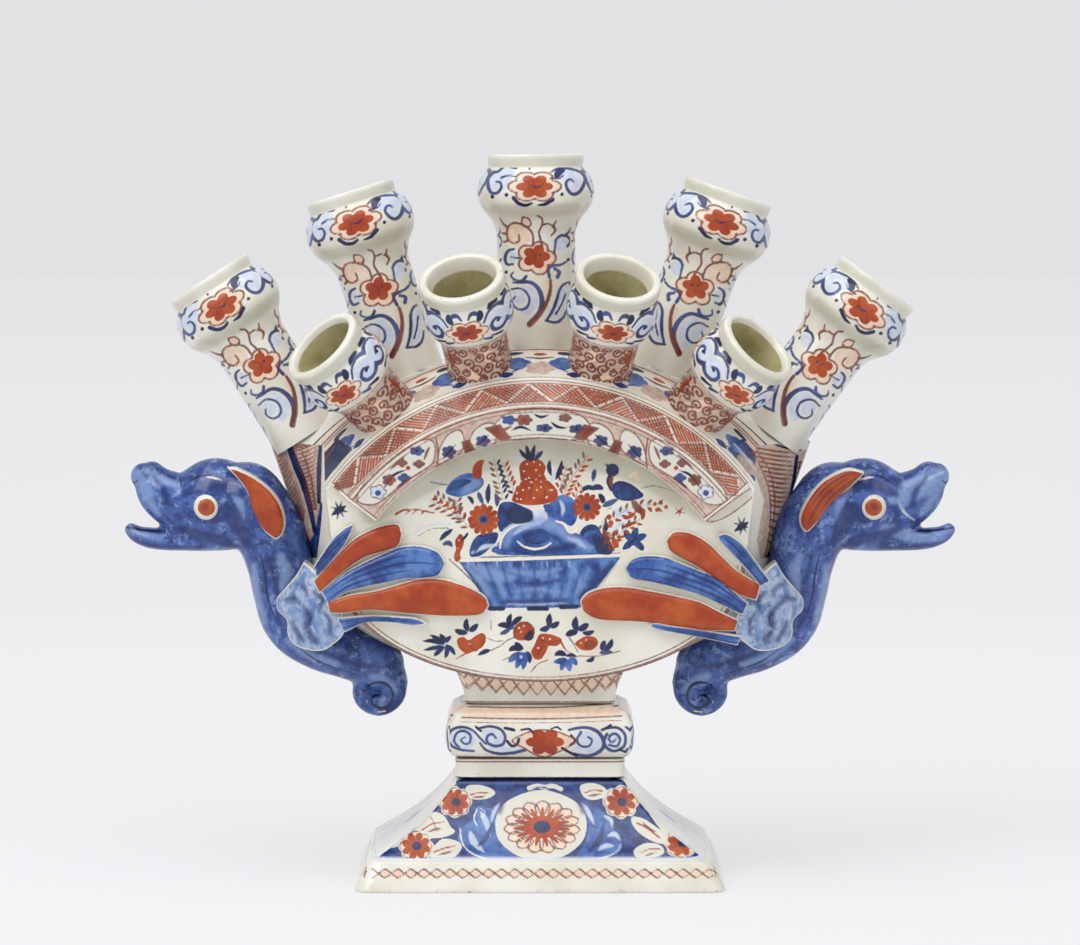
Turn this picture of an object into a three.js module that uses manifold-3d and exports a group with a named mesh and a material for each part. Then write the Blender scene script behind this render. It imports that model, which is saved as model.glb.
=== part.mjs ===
// Fan-shaped tulip vase in painted tin-glazed earthenware: a hollow fan body on a
// moulded foot, nine spouts that open into it and two dragons as handles.
// Millimetres, +Z up, front towards -Y, origin in the middle of the foot's underside.

import * as THREE from 'three';
import { mergeVertices } from 'three/addons/utils/BufferGeometryUtils.js';
import Module from 'manifold-3d';

const wasm = await Module();
wasm.setup();

// Joints between the pieces of clay, and a reach beyond any of them for cutting
const SEAM = 0.3;
const WALL = 5;
const FAR = 500;

// Foot, block, knop and neck: half widths in X and half depths in Y
const FOOT_HALF_WIDTH = 65.7;
const FOOT_HALF_DEPTH = 49.5;
const PLINTH_HEIGHT = 10.5;
const PLINTH_BATTER = 4.8;
const FLARE_BOTTOM = 12;
const FLARE_INSET = 6.8;
const FOOT_HEIGHT = 36.9;
const STEM_HALF_WIDTH = 30.3;
const STEM_HALF_DEPTH = 22;
const STEM_HEIGHT = 7.2;
const KNOP_HEIGHT = 18.6;
const KNOP_SWELL = 3.6;
const NECK_HALF_WIDTH = 27;
const NECK_HALF_DEPTH = 18.5;
const NECK_FLARE = 4.2;
const CORNER_RADIUS = 5;

// Fan body: how deep its front, ledge, back edge and back face lie
const FRONT_Y = -28;
const LEDGE_Y = -10;
const CREST_Y = 9;
const BACK_Y = 27;
const BODY_BOTTOM = 72.5;
const BELT_Z = 114;
const DISC_TOP_Z = 180.5;
const DISC_RADIUS = 93.5;
const DISC_SIDE_X = 76.3;
const DISC_BELT_X = 72.8;
const LEDGE_RISE = 10;
const LEDGE_SIDE_STEP = 1.1;
const LEDGE_BELT_STEP = 2.2;
const CREST_DROP = 1.5;
const FAN_RADIUS = 162;
const FAN_SIDE_X = 98;
const FAN_BELT_X = 83.3;
const SIDE_TOP_DROP = 5;

// Arched moulding on the front: a sloping diaper band round a flat band of panels
const DIAPER_WIDTH = 9;
const PANEL_BAND_WIDTH = 12;
const ARCH_PROUD = 8;
const ARCH_HALF_ANGLE = 53;

// Tall spouts: where they stand along the crest's arc, and how each leans
const TALL_Y = 11;
const TALL_ROOT_ANGLES = [-32.4, -17.5, -0.4, 16.2, 32];
const TALL_LEANS = [-33, -17.3, -0.4, 20, 36.6];
const TALL_LENGTHS = [61.4, 68.2, 71, 68.2, 61.4];
const TALL_GIRTHS = [1, 1, 1.06, 1, 1];
const TALL_BORE = 9.8;
const TALL_NECK = 13.4;
const TALL_CUP = 29;
const SPOUT_TAIL = 16;

// Short spouts: on the shoulder, leaning forwards and fanned out
const SHORT_Y = -14;
const SHORT_LEAN = 32;
const SHORT_LENGTH = 41;
const SHORT_BORE = 8.6;
const SHORT_NECK = 11.7;
const SHORT_CUP = 24;
const SHORT_ROOT_ANGLES = [-33.72, -12.43, 12.43, 33.72];
const SHORT_ROOT_DEPTHS = [9.12, 5.5, 5.5, 9.12];
const SHORT_SPLAYS = [-38, -9.4, 9.4, 38];

// Dragons: the plane of their spine, and the raised wing on the front panel
const DRAGON_Y = 8;
const SKULL_HALF_DEPTH = 13;
const EYE_RADIUS = 4.3;
const EYE_BULGE = 1.8;
const EAR_PROUD = 2.4;
const FEATHER_THICKNESS = 5;
const WING_ROOT_THICKNESS = 15;
const EDGE_SHARE = 0.1;

// How finely the round forms are cut
const ARC_STEPS = 16;
const BOWL_STEPS = 14;
const ARCH_STEPS = 24;
const SPOUT_SIDES = 14;
const LEAF_STEPS = 7;

const WHITE = '#e9e6da';
const BLUE = '#3c5a9e';
const PALE_BLUE = '#7d9bcb';
const RED = '#bf471f';

const vase = new THREE.Group();
const degrees = THREE.MathUtils.degToRad;

// A closed three.js geometry as a solid that can be cut and joined
function solid(geometry) {
  const shell = geometry.clone();
  shell.deleteAttribute('normal');
  shell.deleteAttribute('uv');
  const merged = mergeVertices(shell, 1e-4);
  const vertProperties = new Float32Array(merged.attributes.position.array);
  const triVerts = new Uint32Array(merged.index.array);
  return new wasm.Manifold(new wasm.Mesh({ numProp: 3, vertProperties, triVerts }));
}

function addPiece(name, body, color, roughness = 0.22) {
  const mesh = body.getMesh();
  const geometry = new THREE.BufferGeometry();
  geometry.setAttribute('position', new THREE.BufferAttribute(mesh.vertProperties, 3));
  geometry.setIndex(new THREE.BufferAttribute(mesh.triVerts, 1));
  geometry.computeVertexNormals();
  const material = new THREE.MeshStandardMaterial({ color, roughness, metalness: 0 });
  const piece = new THREE.Mesh(geometry, material);
  piece.name = name;
  vase.add(piece);
}

// Skin over a row of rings that each hold as many points, with a flat fan at both ends.
// Rings turn anticlockwise about the way the row runs.
function loft(rings) {
  const count = rings[0].length;
  const points = rings.flat();
  const faces = [];
  for (let row = 0; row + 1 < rings.length; row++) {
    for (let i = 0; i < count; i++) {
      const a = row * count + i;
      const b = row * count + (i + 1) % count;
      faces.push(a, b, b + count, a, b + count, a + count);
    }
  }
  const middle = (ring) => ring
    .reduce((sum, point) => sum.add(point), new THREE.Vector3())
    .divideScalar(count);
  const first = points.push(middle(rings[0])) - 1;
  const last = points.push(middle(rings.at(-1))) - 1;
  const start = (rings.length - 1) * count;
  for (let i = 0; i < count; i++) {
    const next = (i + 1) % count;
    faces.push(first, next, i);
    faces.push(last, start + i, start + next);
  }
  const geometry = new THREE.BufferGeometry().setFromPoints(points);
  geometry.setIndex(faces);
  return geometry;
}

// A box between two corners, to keep one side of a shell
function region(low, high) {
  const size = new THREE.Vector3().subVectors(high, low);
  const box = new THREE.BoxGeometry(size.x, size.y, size.z);
  box.translate(...low.clone().add(high).multiplyScalar(0.5));
  return solid(box);
}

function slab(yLow, yHigh, zLow = -FAR, zHigh = FAR) {
  return region(new THREE.Vector3(-FAR, yLow, zLow), new THREE.Vector3(FAR, yHigh, zHigh));
}

// Foot and stem

function roundedRectangle(z, halfWidth, halfDepth, inset = 0) {
  const radius = CORNER_RADIUS - inset / 2;
  const x = halfWidth - inset - radius;
  const y = halfDepth - inset - radius;
  const outline = new THREE.Path();
  outline.absarc(x, y, radius, 0, Math.PI / 2);
  outline.absarc(-x, y, radius, Math.PI / 2, Math.PI);
  outline.absarc(-x, -y, radius, Math.PI, Math.PI * 1.5);
  outline.absarc(x, -y, radius, Math.PI * 1.5, Math.PI * 2);
  const corners = outline.curves.filter((curve) => curve.isEllipseCurve);
  const points = corners.flatMap((corner) => corner.getPoints(2));
  return points.map((point) => new THREE.Vector3(point.x, point.y, z));
}

// A hollow block whose sides follow (height, half width, half depth) steps
function moulded(steps, wall) {
  const outside = loft(steps.map(([z, x, y]) => roundedRectangle(z, x, y)));
  const inside = loft(steps.map(([z, x, y], i) => {
    const past = i === 0 ? -1 : i === steps.length - 1 ? 1 : 0;
    return roundedRectangle(z + past, x, y, wall);
  }));
  return solid(outside).subtract(solid(inside));
}

const flareHalfWidth = FOOT_HALF_WIDTH - FLARE_INSET;
const flareHalfDepth = FOOT_HALF_DEPTH - FLARE_INSET;
const flare = new THREE.QuadraticBezierCurve3(
  new THREE.Vector3(flareHalfWidth, flareHalfDepth, FLARE_BOTTOM),
  new THREE.Vector3(
    STEM_HALF_WIDTH + 0.3 * (flareHalfWidth - STEM_HALF_WIDTH),
    STEM_HALF_DEPTH + 0.3 * (flareHalfDepth - STEM_HALF_DEPTH),
    FLARE_BOTTOM + 0.46 * (FOOT_HEIGHT - FLARE_BOTTOM),
  ),
  new THREE.Vector3(STEM_HALF_WIDTH + 0.4, STEM_HALF_DEPTH + 0.4, FOOT_HEIGHT),
);
const footSteps = [
  [0, FOOT_HALF_WIDTH, FOOT_HALF_DEPTH],
  [2, FOOT_HALF_WIDTH - 0.6, FOOT_HALF_DEPTH - 0.6],
  [PLINTH_HEIGHT, FOOT_HALF_WIDTH - PLINTH_BATTER, FOOT_HALF_DEPTH - PLINTH_BATTER],
  ...flare.getPoints(7).map((point) => [point.z, point.x, point.y]),
];
addPiece('foot', moulded(footSteps, WALL + 1), WHITE);

const stemBottom = FOOT_HEIGHT + SEAM;
const stemTop = stemBottom + STEM_HEIGHT;
const stemSteps = [
  [stemBottom, STEM_HALF_WIDTH + 0.4, STEM_HALF_DEPTH + 0.4],
  [stemBottom + 1.2, STEM_HALF_WIDTH, STEM_HALF_DEPTH],
  [stemTop - 1.2, STEM_HALF_WIDTH, STEM_HALF_DEPTH],
  [stemTop, STEM_HALF_WIDTH + 0.5, STEM_HALF_DEPTH + 0.5],
];
addPiece('stem_block', moulded(stemSteps, WALL), WHITE);

const knopBottom = stemTop + SEAM;
const knopTop = knopBottom + KNOP_HEIGHT;
const knopRise = (share, swell) => [
  knopBottom + share * KNOP_HEIGHT,
  STEM_HALF_WIDTH + swell * KNOP_SWELL,
  STEM_HALF_DEPTH + swell * KNOP_SWELL,
];
const knopSteps = [
  knopRise(0, 0.2),
  knopRise(0.2, 0.8),
  knopRise(0.42, 1),
  knopRise(0.66, 0.85),
  knopRise(0.87, 0.4),
  [knopTop, NECK_HALF_WIDTH + 0.4, NECK_HALF_DEPTH + 0.4],
];
addPiece('knop', moulded(knopSteps, WALL), WHITE);

// Fan body

const discCentreZ = DISC_TOP_Z - DISC_RADIUS;
const ledgeRadius = DISC_RADIUS + LEDGE_RISE;
const fanCentreZ = DISC_TOP_Z + LEDGE_RISE - CREST_DROP - FAN_RADIUS;
const fanCornerZ = fanCentreZ + Math.sqrt(FAN_RADIUS ** 2 - FAN_SIDE_X ** 2);
const sideTopZ = fanCornerZ - SIDE_TOP_DROP;

// One section of the body, in a plane of constant y: arc over the top, a straight
// side, and a boat-shaped underside. "grow" moves the whole outline outwards.
function bodySection(y, arcZ, arcRadius, sideX, beltX, power, grow) {
  const radius = arcRadius + grow;
  const half = Math.asin((sideX + grow) / radius);
  const side = new THREE.Vector2(Math.sin(half) * radius, arcZ + Math.cos(half) * radius);
  const belt = new THREE.Vector2(beltX + grow, BELT_Z);
  const drop = BELT_Z - BODY_BOTTOM + grow;
  const ring = [];
  for (let i = 0; i <= ARC_STEPS; i++) {
    const angle = THREE.MathUtils.lerp(-half, half, i / ARC_STEPS);
    ring.push(new THREE.Vector3(Math.sin(angle) * radius, y, arcZ + Math.cos(angle) * radius));
  }
  ring.push(new THREE.Vector3((side.x + belt.x) / 2, y, (side.y + belt.y) / 2));
  for (let i = 0; i <= BOWL_STEPS; i++) {
    const angle = Math.PI * i / BOWL_STEPS;
    const across = Math.cos(angle);
    const x = Math.sign(across) * Math.abs(across) ** (2 / power) * belt.x;
    ring.push(new THREE.Vector3(x, y, BELT_Z - Math.sin(angle) ** (2 / power) * drop));
  }
  ring.push(new THREE.Vector3(-(side.x + belt.x) / 2, y, (side.y + belt.y) / 2));
  return ring;
}

function bodySolid(grow) {
  const ledgeSideX = DISC_SIDE_X + LEDGE_SIDE_STEP;
  const ledgeBeltX = DISC_BELT_X + LEDGE_BELT_STEP;
  const disc = [discCentreZ, DISC_RADIUS, DISC_SIDE_X, DISC_BELT_X, 2, grow];
  const ledge = [discCentreZ, ledgeRadius, ledgeSideX, ledgeBeltX, 2.05, grow];
  const fan = [fanCentreZ, FAN_RADIUS, FAN_SIDE_X, FAN_BELT_X, 2.15, grow];
  return solid(loft([
    bodySection(FRONT_Y - grow, ...disc),
    bodySection(LEDGE_Y, ...ledge),
    bodySection(CREST_Y, ...fan),
    bodySection(BACK_Y + grow, ...fan),
  ]));
}

const bodyOuter = bodySolid(0);
const bodyInner = bodySolid(-WALL);
const bodyClear = bodySolid(SEAM);
const frontBack = FRONT_Y + WALL;
const backFront = BACK_Y - WALL;
const shell = bodyOuter.subtract(bodyInner);
const middleShell = shell.intersect(slab(frontBack + SEAM, backFront - SEAM));

addPiece('front_panel', bodyOuter.intersect(slab(-FAR, frontBack)), WHITE);
addPiece('back_panel', bodyOuter.intersect(slab(backFront, FAR)), WHITE);
addPiece('bowl', middleShell.intersect(slab(-FAR, FAR, -FAR, BELT_Z)), WHITE);

const sideShell = middleShell.intersect(slab(-FAR, FAR, BELT_Z + SEAM, sideTopZ));
for (const [name, side] of [['left_side', -1], ['right_side', 1]]) {
  const low = new THREE.Vector3(side < 0 ? -FAR : 0, -FAR, -FAR);
  const high = new THREE.Vector3(side < 0 ? 0 : FAR, FAR, FAR);
  addPiece(name, sideShell.intersect(region(low, high)), WHITE);
}

// Neck, cut to the underside of the body

const neckBottom = knopTop + SEAM;
const neckSeat = BODY_BOTTOM + WALL;
const neckRise = neckSeat - neckBottom;
const neckSteps = [
  [neckBottom, NECK_HALF_WIDTH + 0.2, NECK_HALF_DEPTH + 0.2],
  [neckBottom + 0.2 * neckRise, NECK_HALF_WIDTH, NECK_HALF_DEPTH],
  [neckBottom + 0.5 * neckRise, NECK_HALF_WIDTH + 0.3 * NECK_FLARE, NECK_HALF_DEPTH],
  [neckSeat, NECK_HALF_WIDTH + NECK_FLARE, NECK_HALF_DEPTH + 0.5 * NECK_FLARE],
];
addPiece('neck', moulded(neckSteps, WALL).subtract(bodyClear), WHITE);

// Arched moulding: a swept band with a sloping outer face and an upright inner one

const archBandRadius = DISC_RADIUS - DIAPER_WIDTH;
const archInnerRadius = archBandRadius - PANEL_BAND_WIDTH;

function archRing(angle) {
  const wallY = FRONT_Y - SEAM;
  const faceY = FRONT_Y - ARCH_PROUD;
  const profile = [
    [archBandRadius, faceY],
    [archInnerRadius + 1, faceY],
    [archInnerRadius, faceY + 1],
    [archInnerRadius, wallY],
    [DISC_RADIUS, wallY],
  ];
  return profile.map(([radius, y]) => new THREE.Vector3(
    Math.sin(angle) * radius,
    y,
    discCentreZ + Math.cos(angle) * radius,
  ));
}

const archEnd = degrees(ARCH_HALF_ANGLE);
const archRings = Array.from({ length: ARCH_STEPS + 1 }, (_, i) => (
  archRing(THREE.MathUtils.lerp(-archEnd, archEnd, i / ARCH_STEPS))
));
addPiece('arch_moulding', solid(loft(archRings)), WHITE);

// Spouts

// A turned shape about Z from (radius, height) points that run up the outside
// and down the inside, or up from the axis and back to it
function turned(profile, segments = SPOUT_SIDES) {
  const points = profile.map(([radius, height]) => new THREE.Vector2(radius, height));
  points.push(points[0]);
  return new THREE.LatheGeometry(points, segments).rotateX(Math.PI / 2);
}

function tallProfile(length, girth) {
  const cup = (share) => length - share * TALL_CUP;
  return [
    [TALL_NECK * 1.06, -SPOUT_TAIL],
    [TALL_NECK, 0.2 * length],
    [TALL_NECK, cup(1)],
    [TALL_NECK * 1.12, cup(0.828)],
    [TALL_NECK * 1.4, cup(0.655)],
    [TALL_NECK * 1.5, cup(0.448)],
    [TALL_NECK * 1.42, cup(0.276)],
    [TALL_NECK * 1.19, cup(0.159)],
    [TALL_NECK * 1.22, length],
    [TALL_NECK * 0.98, length],
    [TALL_NECK * 0.94, cup(0.276)],
    [TALL_BORE, cup(0.69)],
    [TALL_BORE, -SPOUT_TAIL],
  ].map(([radius, height]) => [radius * girth, height]);
}

function shortProfile(length) {
  const cup = (share) => length - share * SHORT_CUP;
  return [
    [SHORT_NECK * 1.05, -SPOUT_TAIL],
    [SHORT_NECK, 0.2 * length],
    [SHORT_NECK * 1.03, cup(1)],
    [SHORT_NECK * 1.3, cup(0.812)],
    [SHORT_NECK * 1.4, cup(0.583)],
    [SHORT_NECK * 1.34, cup(0.354)],
    [SHORT_NECK * 1.2, cup(0.225)],
    [SHORT_NECK * 1.3, cup(0.192)],
    [SHORT_NECK * 1.29, length],
    [SHORT_NECK * 1.06, length],
    [SHORT_NECK * 0.92, cup(0.292)],
    [SHORT_BORE, cup(0.667)],
    [SHORT_BORE, -SPOUT_TAIL],
  ];
}

// Puts a shape that stands on the XY plane at a root point, leaning along an axis
function planted(geometry, root, axis) {
  const turn = new THREE.Quaternion().setFromUnitVectors(new THREE.Vector3(0, 0, 1), axis);
  return geometry.applyQuaternion(turn).translate(root.x, root.y, root.z);
}

function bore(radius, root, axis) {
  const reach = 2 * (SPOUT_TAIL + WALL * 4);
  const drill = new THREE.CylinderGeometry(radius, radius, reach, SPOUT_SIDES).rotateX(Math.PI / 2);
  return solid(planted(drill, root, axis));
}

const underFan = slab(-FAR, FAR, -FAR, fanCornerZ);
const tallBores = TALL_LEANS.map((leanOut, i) => {
  const spoke = degrees(TALL_ROOT_ANGLES[i]);
  const angle = degrees(leanOut);
  const axis = new THREE.Vector3(Math.sin(angle), 0, Math.cos(angle));
  const root = new THREE.Vector3(
    Math.sin(spoke) * FAN_RADIUS,
    TALL_Y,
    fanCentreZ + Math.cos(spoke) * FAN_RADIUS,
  );
  const spout = turned(tallProfile(TALL_LENGTHS[i], TALL_GIRTHS[i]));
  const seated = solid(planted(spout, root, axis)).subtract(bodyClear).subtract(underFan);
  addPiece(`tall_spout_${i + 1}`, seated, WHITE);
  return bore(TALL_BORE * TALL_GIRTHS[i], root, axis);
});

const lean = degrees(SHORT_LEAN);
const shortBores = SHORT_SPLAYS.map((degreesOut, i) => {
  const splay = degrees(degreesOut);
  const axis = new THREE.Vector3(
    Math.sin(splay),
    -Math.cos(splay) * Math.sin(lean),
    Math.cos(splay) * Math.cos(lean),
  );
  const spoke = degrees(SHORT_ROOT_ANGLES[i]);
  const rootRadius = ledgeRadius - SHORT_ROOT_DEPTHS[i];
  const root = new THREE.Vector3(
    Math.sin(spoke) * rootRadius,
    SHORT_Y,
    discCentreZ + Math.cos(spoke) * rootRadius,
  );
  const spout = turned(shortProfile(SHORT_LENGTH));
  const seated = solid(planted(spout, root, axis)).subtract(bodyClear);
  addPiece(`short_spout_${i + 1}`, seated, WHITE);
  return bore(SHORT_BORE, root, axis);
});

const upperShell = middleShell.intersect(slab(-FAR, FAR, sideTopZ + SEAM, FAR));
const bored = [...tallBores, ...shortBores].reduce((body, drill) => body.subtract(drill), upperShell);
addPiece('shoulder', bored.intersect(slab(-FAR, LEDGE_Y)), WHITE);
addPiece('crest', bored.intersect(slab(LEDGE_Y + SEAM, FAR)), WHITE);

// Dragons. Each is drawn as the left one, in the plane of its spine, and mirrored.

// A limb whose thickness changes along a spine in the XZ plane: stations hold
// x, z and radius; "deep" is its depth as a share of its height
function limb(stations, { deep = 1, grow = 0, steps = 15, sides = 10 } = {}) {
  const spine = new THREE.CatmullRomCurve3(
    stations.map(([x, z]) => new THREE.Vector3(x, DRAGON_Y, z)),
    false,
    'centripetal',
  );
  const across = new THREE.Vector3(0, 1, 0);
  const rings = [];
  for (let i = 0; i <= steps + 4; i++) {
    const t = THREE.MathUtils.clamp((i - 2) / steps, 0, 1);
    const place = t * (stations.length - 1);
    const k = Math.min(Math.floor(place), stations.length - 2);
    const radius = THREE.MathUtils.lerp(stations[k][2], stations[k + 1][2], place - k) + grow;
    const tangent = spine.getTangent(t);
    const normal = new THREE.Vector3().crossVectors(across, tangent);
    const fromEnd = Math.min(i, steps + 4 - i);
    const round = fromEnd < 2 ? Math.PI / 2 * (0.25 + 0.4 * fromEnd) : Math.PI / 2;
    const slip = Math.cos(round) * radius * (i < 3 ? -1 : 1);
    const centre = spine.getPoint(t).addScaledVector(tangent, slip);
    const ringRadius = Math.sin(round) * radius;
    rings.push(Array.from({ length: sides }, (_, j) => {
      const angle = 2 * Math.PI * j / sides;
      return centre.clone()
        .addScaledVector(normal, Math.cos(angle) * ringRadius)
        .addScaledVector(across, Math.sin(angle) * ringRadius * deep);
    }));
  }
  return loft(rings);
}

// A flat leaf from a root to a tip, widest near the tip and rounded there
function leaf(root, tip, rootWidth, width, bow, grow = 0) {
  const start = new THREE.Vector2(...root);
  const along = new THREE.Vector2(...tip).sub(start);
  const length = along.length() + grow;
  along.normalize();
  const aside = new THREE.Vector2(-along.y, along.x);
  const edge = (t, side) => {
    const spread = THREE.MathUtils.smoothstep(t, 0, 0.72);
    const full = THREE.MathUtils.lerp(rootWidth, width, spread) / 2 * Math.sqrt(1 - t ** 5);
    const shift = bow * Math.sin(Math.PI * t) + side * (full + grow);
    return start.clone().addScaledVector(along, t * length).addScaledVector(aside, shift);
  };
  const steps = Array.from({ length: LEAF_STEPS }, (_, i) => Math.sin(Math.PI / 2 * i / LEAF_STEPS));
  const outward = steps.map((t) => edge(t, -1));
  const inward = steps.map((t) => edge(t, 1)).reverse();
  const point = start.clone().addScaledVector(along, length);
  return new THREE.Shape([...outward, point, ...inward]);
}

// A shape drawn in XZ, as a plate with softened edges between two depths
function plate(shape, frontY, backY, soft) {
  const geometry = new THREE.ExtrudeGeometry(shape, {
    depth: backY - frontY - 2 * soft,
    bevelThickness: soft,
    bevelSize: soft,
    bevelOffset: -soft,
    bevelSegments: 1,
  });
  geometry.rotateX(Math.PI / 2);
  return geometry.translate(0, backY - soft, 0);
}

// Points of the dragon, as (outwards, upwards, radius) from the edge of the body at its belt
const fromBelt = ([out, up, ...radius]) => [-(FAN_BELT_X + out), BELT_Z + up, ...radius];

const SPINE = [
  [23.4, 20.8, 14.3], [15.1, 9.9, 13.4], [11.5, -1, 12.2], [10.1, -13.7, 10.6],
  [6.9, -24.2, 10], [-2.3, -31, 9.9], [-14.3, -34.8, 10], [-24.7, -39, 9.6],
].map(fromBelt);
const CURL = [
  [-27.7, -39.6, 6.6], [-30.9, -46.4, 5.2], [-28.1, -52.4, 4.8], [-22.3, -53.4, 4.6],
  [-19.1, -48.2, 4.3], [-22.5, -44.2, 3.6], [-25.7, -47, 2.8],
].map(fromBelt);
const SNOUT = [
  [34.7, 20, 13.6], [47.6, 21.9, 10.3], [53.8, 24.8, 7.2], [57.8, 28.4, 6], [61, 31, 4.6],
].map(fromBelt);
const JAW = [
  [29.7, 8.4, 6], [38.7, 7.5, 4.9], [48.7, 7, 3.8], [57.7, 8, 3.2], [66.1, 10.8, 1.9],
].map(fromBelt);
const SKULL = fromBelt([34, 20, 16.2]);
const EYE = fromBelt([36.7, 19.2]);
const EAR = {
  root: fromBelt([30.3, 31.6]), tip: fromBelt([10.9, 7.6]), rootWidth: 4, width: 11.5, bow: 2.6,
};
const FEATHERS = [
  { root: [-2.8, -3.2], tip: [-16.5, 12.6], rootWidth: 4, width: 4.6, bow: 0 },
  { root: [-3.8, -8.4], tip: [-36.3, 12.4], rootWidth: 4.6, width: 10, bow: 2.2 },
  { root: [-6.7, -12.6], tip: [-50.7, 0.6], rootWidth: 4, width: 11, bow: 4.4 },
  { root: [-9.9, -17], tip: [-65.3, -15.4], rootWidth: 4.4, width: 12.6, bow: 4 },
  { root: [-10.7, -21.4], tip: [-42.3, -22.8], rootWidth: 3.4, width: 3.2, bow: 0.2 },
].map((one) => ({ ...one, root: fromBelt(one.root), tip: fromBelt(one.tip) }));
const WING_ROOT = [
  [-1.1, -0.8], [8.1, -12.5], [8.9, -17.6], [7.3, -26.6], [1.7, -32.4], [-11.3, -27.6],
  [-13.3, -23], [-7.7, -11],
].map(fromBelt);

function skull(grow) {
  const [x, z, radius] = SKULL;
  const ball = new THREE.SphereGeometry(1, 14, 9);
  ball.scale(radius + grow, SKULL_HALF_DEPTH + grow, radius + grow);
  return solid(ball.translate(x, DRAGON_Y, z));
}

function head(grow) {
  const snout = limb(SNOUT, { grow, deep: 0.86, steps: 8 });
  return skull(grow).add(solid(snout));
}

function creature(grow) {
  const trunk = solid(limb(SPINE, { grow }));
  return trunk.add(solid(limb(CURL, { grow, steps: 11, sides: 7 })));
}

const headClear = head(SEAM);
const trunkClear = creature(SEAM);
const wingClear = FEATHERS.map(({ root, tip, rootWidth, width, bow }) => {
  const outline = leaf(root, tip, rootWidth, width, bow, SEAM);
  const face = FRONT_Y - FEATHER_THICKNESS - 2 * SEAM;
  return solid(plate(outline, face, FRONT_Y, EDGE_SHARE * width));
});

function wingRoot() {
  const outline = new THREE.Shape(WING_ROOT.map(([x, z]) => new THREE.Vector2(x, z)));
  const front = FRONT_Y - FEATHER_THICKNESS;
  const pad = plate(outline, front, front + WING_ROOT_THICKNESS, 1);
  const [edgeX] = WING_ROOT[6];
  const lean = new THREE.Matrix4().makeShear(-1.05, 0, 0, 0, 0, 0);
  pad.translate(-edgeX, 0, 0).applyMatrix4(lean).translate(edgeX, 0, 0);
  return solid(pad);
}

const dragon = {
  dragon_body: [creature(0).subtract(bodyClear), BLUE],
  dragon_head: [head(0).subtract(trunkClear).subtract(bodyClear), BLUE],
  dragon_jaw: [solid(limb(JAW, { deep: 1.5, steps: 7, sides: 8 }))
    .subtract(headClear).subtract(trunkClear), BLUE],
  wing_root: [wingClear.reduce((pad, feather) => pad.subtract(feather), wingRoot())
    .subtract(bodyClear).subtract(trunkClear), PALE_BLUE],
};

for (const [name, side] of [['front', -1], ['back', 1]]) {
  const depth = side * SKULL_HALF_DEPTH;
  const eye = new THREE.SphereGeometry(1, 9, 5).scale(EYE_RADIUS, EYE_BULGE + 2, EYE_RADIUS);
  eye.translate(EYE[0], DRAGON_Y + depth - side * 2.2, EYE[1]);
  dragon[`${name}_eye`] = [solid(eye).subtract(headClear), RED];

  const { root, tip, rootWidth, width, bow } = EAR;
  const near = DRAGON_Y + depth + side * EAR_PROUD;
  const far = DRAGON_Y + depth - side * 6;
  const outline = leaf(root, tip, rootWidth, width, bow);
  const ear = plate(outline, Math.min(near, far), Math.max(near, far), EDGE_SHARE * width);
  dragon[`${name}_ear`] = [solid(ear).subtract(headClear).subtract(trunkClear).subtract(bodyClear), RED];
}

FEATHERS.forEach(({ root, tip, rootWidth, width, bow }, i) => {
  const outline = leaf(root, tip, rootWidth, width, bow);
  const seat = FRONT_Y - SEAM;
  const feather = solid(plate(outline, seat - FEATHER_THICKNESS, seat, EDGE_SHARE * width));
  const below = wingClear[i + 1];
  dragon[`feather_${i + 1}`] = [below ? feather.subtract(below) : feather, i % 2 ? RED : BLUE];
});

// The same solid on the other side of the middle plane
function mirrored(body) {
  const mesh = body.getMesh();
  const vertProperties = mesh.vertProperties.map((value, i) => (i % 3 === 0 ? -value : value));
  const triVerts = mesh.triVerts.map((_, i, all) => all[i - i % 3 + (2 - i % 3)]);
  return new wasm.Manifold(new wasm.Mesh({ numProp: 3, vertProperties, triVerts }));
}

for (const [name, [body, color]] of Object.entries(dragon)) {
  addPiece(`left_${name}`, body, color);
  addPiece(`right_${name}`, mirrored(body), color);
}

export default vase;
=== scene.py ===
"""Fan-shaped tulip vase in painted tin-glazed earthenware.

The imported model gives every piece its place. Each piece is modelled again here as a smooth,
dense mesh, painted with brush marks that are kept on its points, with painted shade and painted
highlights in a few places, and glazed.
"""

import math

import bpy
import numpy as np
from mathutils import Matrix, Vector


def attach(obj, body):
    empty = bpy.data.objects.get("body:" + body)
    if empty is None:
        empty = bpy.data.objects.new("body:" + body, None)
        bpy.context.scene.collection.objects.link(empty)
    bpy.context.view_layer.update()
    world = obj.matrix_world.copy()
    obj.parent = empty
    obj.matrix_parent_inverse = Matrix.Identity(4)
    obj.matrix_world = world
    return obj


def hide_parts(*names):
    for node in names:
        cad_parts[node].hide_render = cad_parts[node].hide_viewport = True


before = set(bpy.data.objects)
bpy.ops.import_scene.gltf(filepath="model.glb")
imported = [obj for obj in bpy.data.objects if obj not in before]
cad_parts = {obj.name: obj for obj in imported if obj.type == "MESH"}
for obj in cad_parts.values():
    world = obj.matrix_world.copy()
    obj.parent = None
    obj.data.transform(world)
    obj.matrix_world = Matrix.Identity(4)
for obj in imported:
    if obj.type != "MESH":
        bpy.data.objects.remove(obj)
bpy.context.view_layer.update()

bl_info = {
    "name": "Tulip Vase",
    "version": (1, 0, 0),
    "blender": (4, 5, 0),
    "location": "View3D > Sidebar > Vase",
    "description": "Fan-shaped tin-glazed tulip vase with dragon handles",
    "category": "Object",
}

MM = 0.001

# The eye that the vase is drawn from: distance, height, pitch and focal length in pixels
# of a 1080 by 945 picture
EYE_Y = -1.7
EYE_Z = 0.262
PITCH = math.radians(3.925)
FOCAL_PX = 4723.8
PICTURE = (1080, 945)
SENSOR = 36.0

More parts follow.
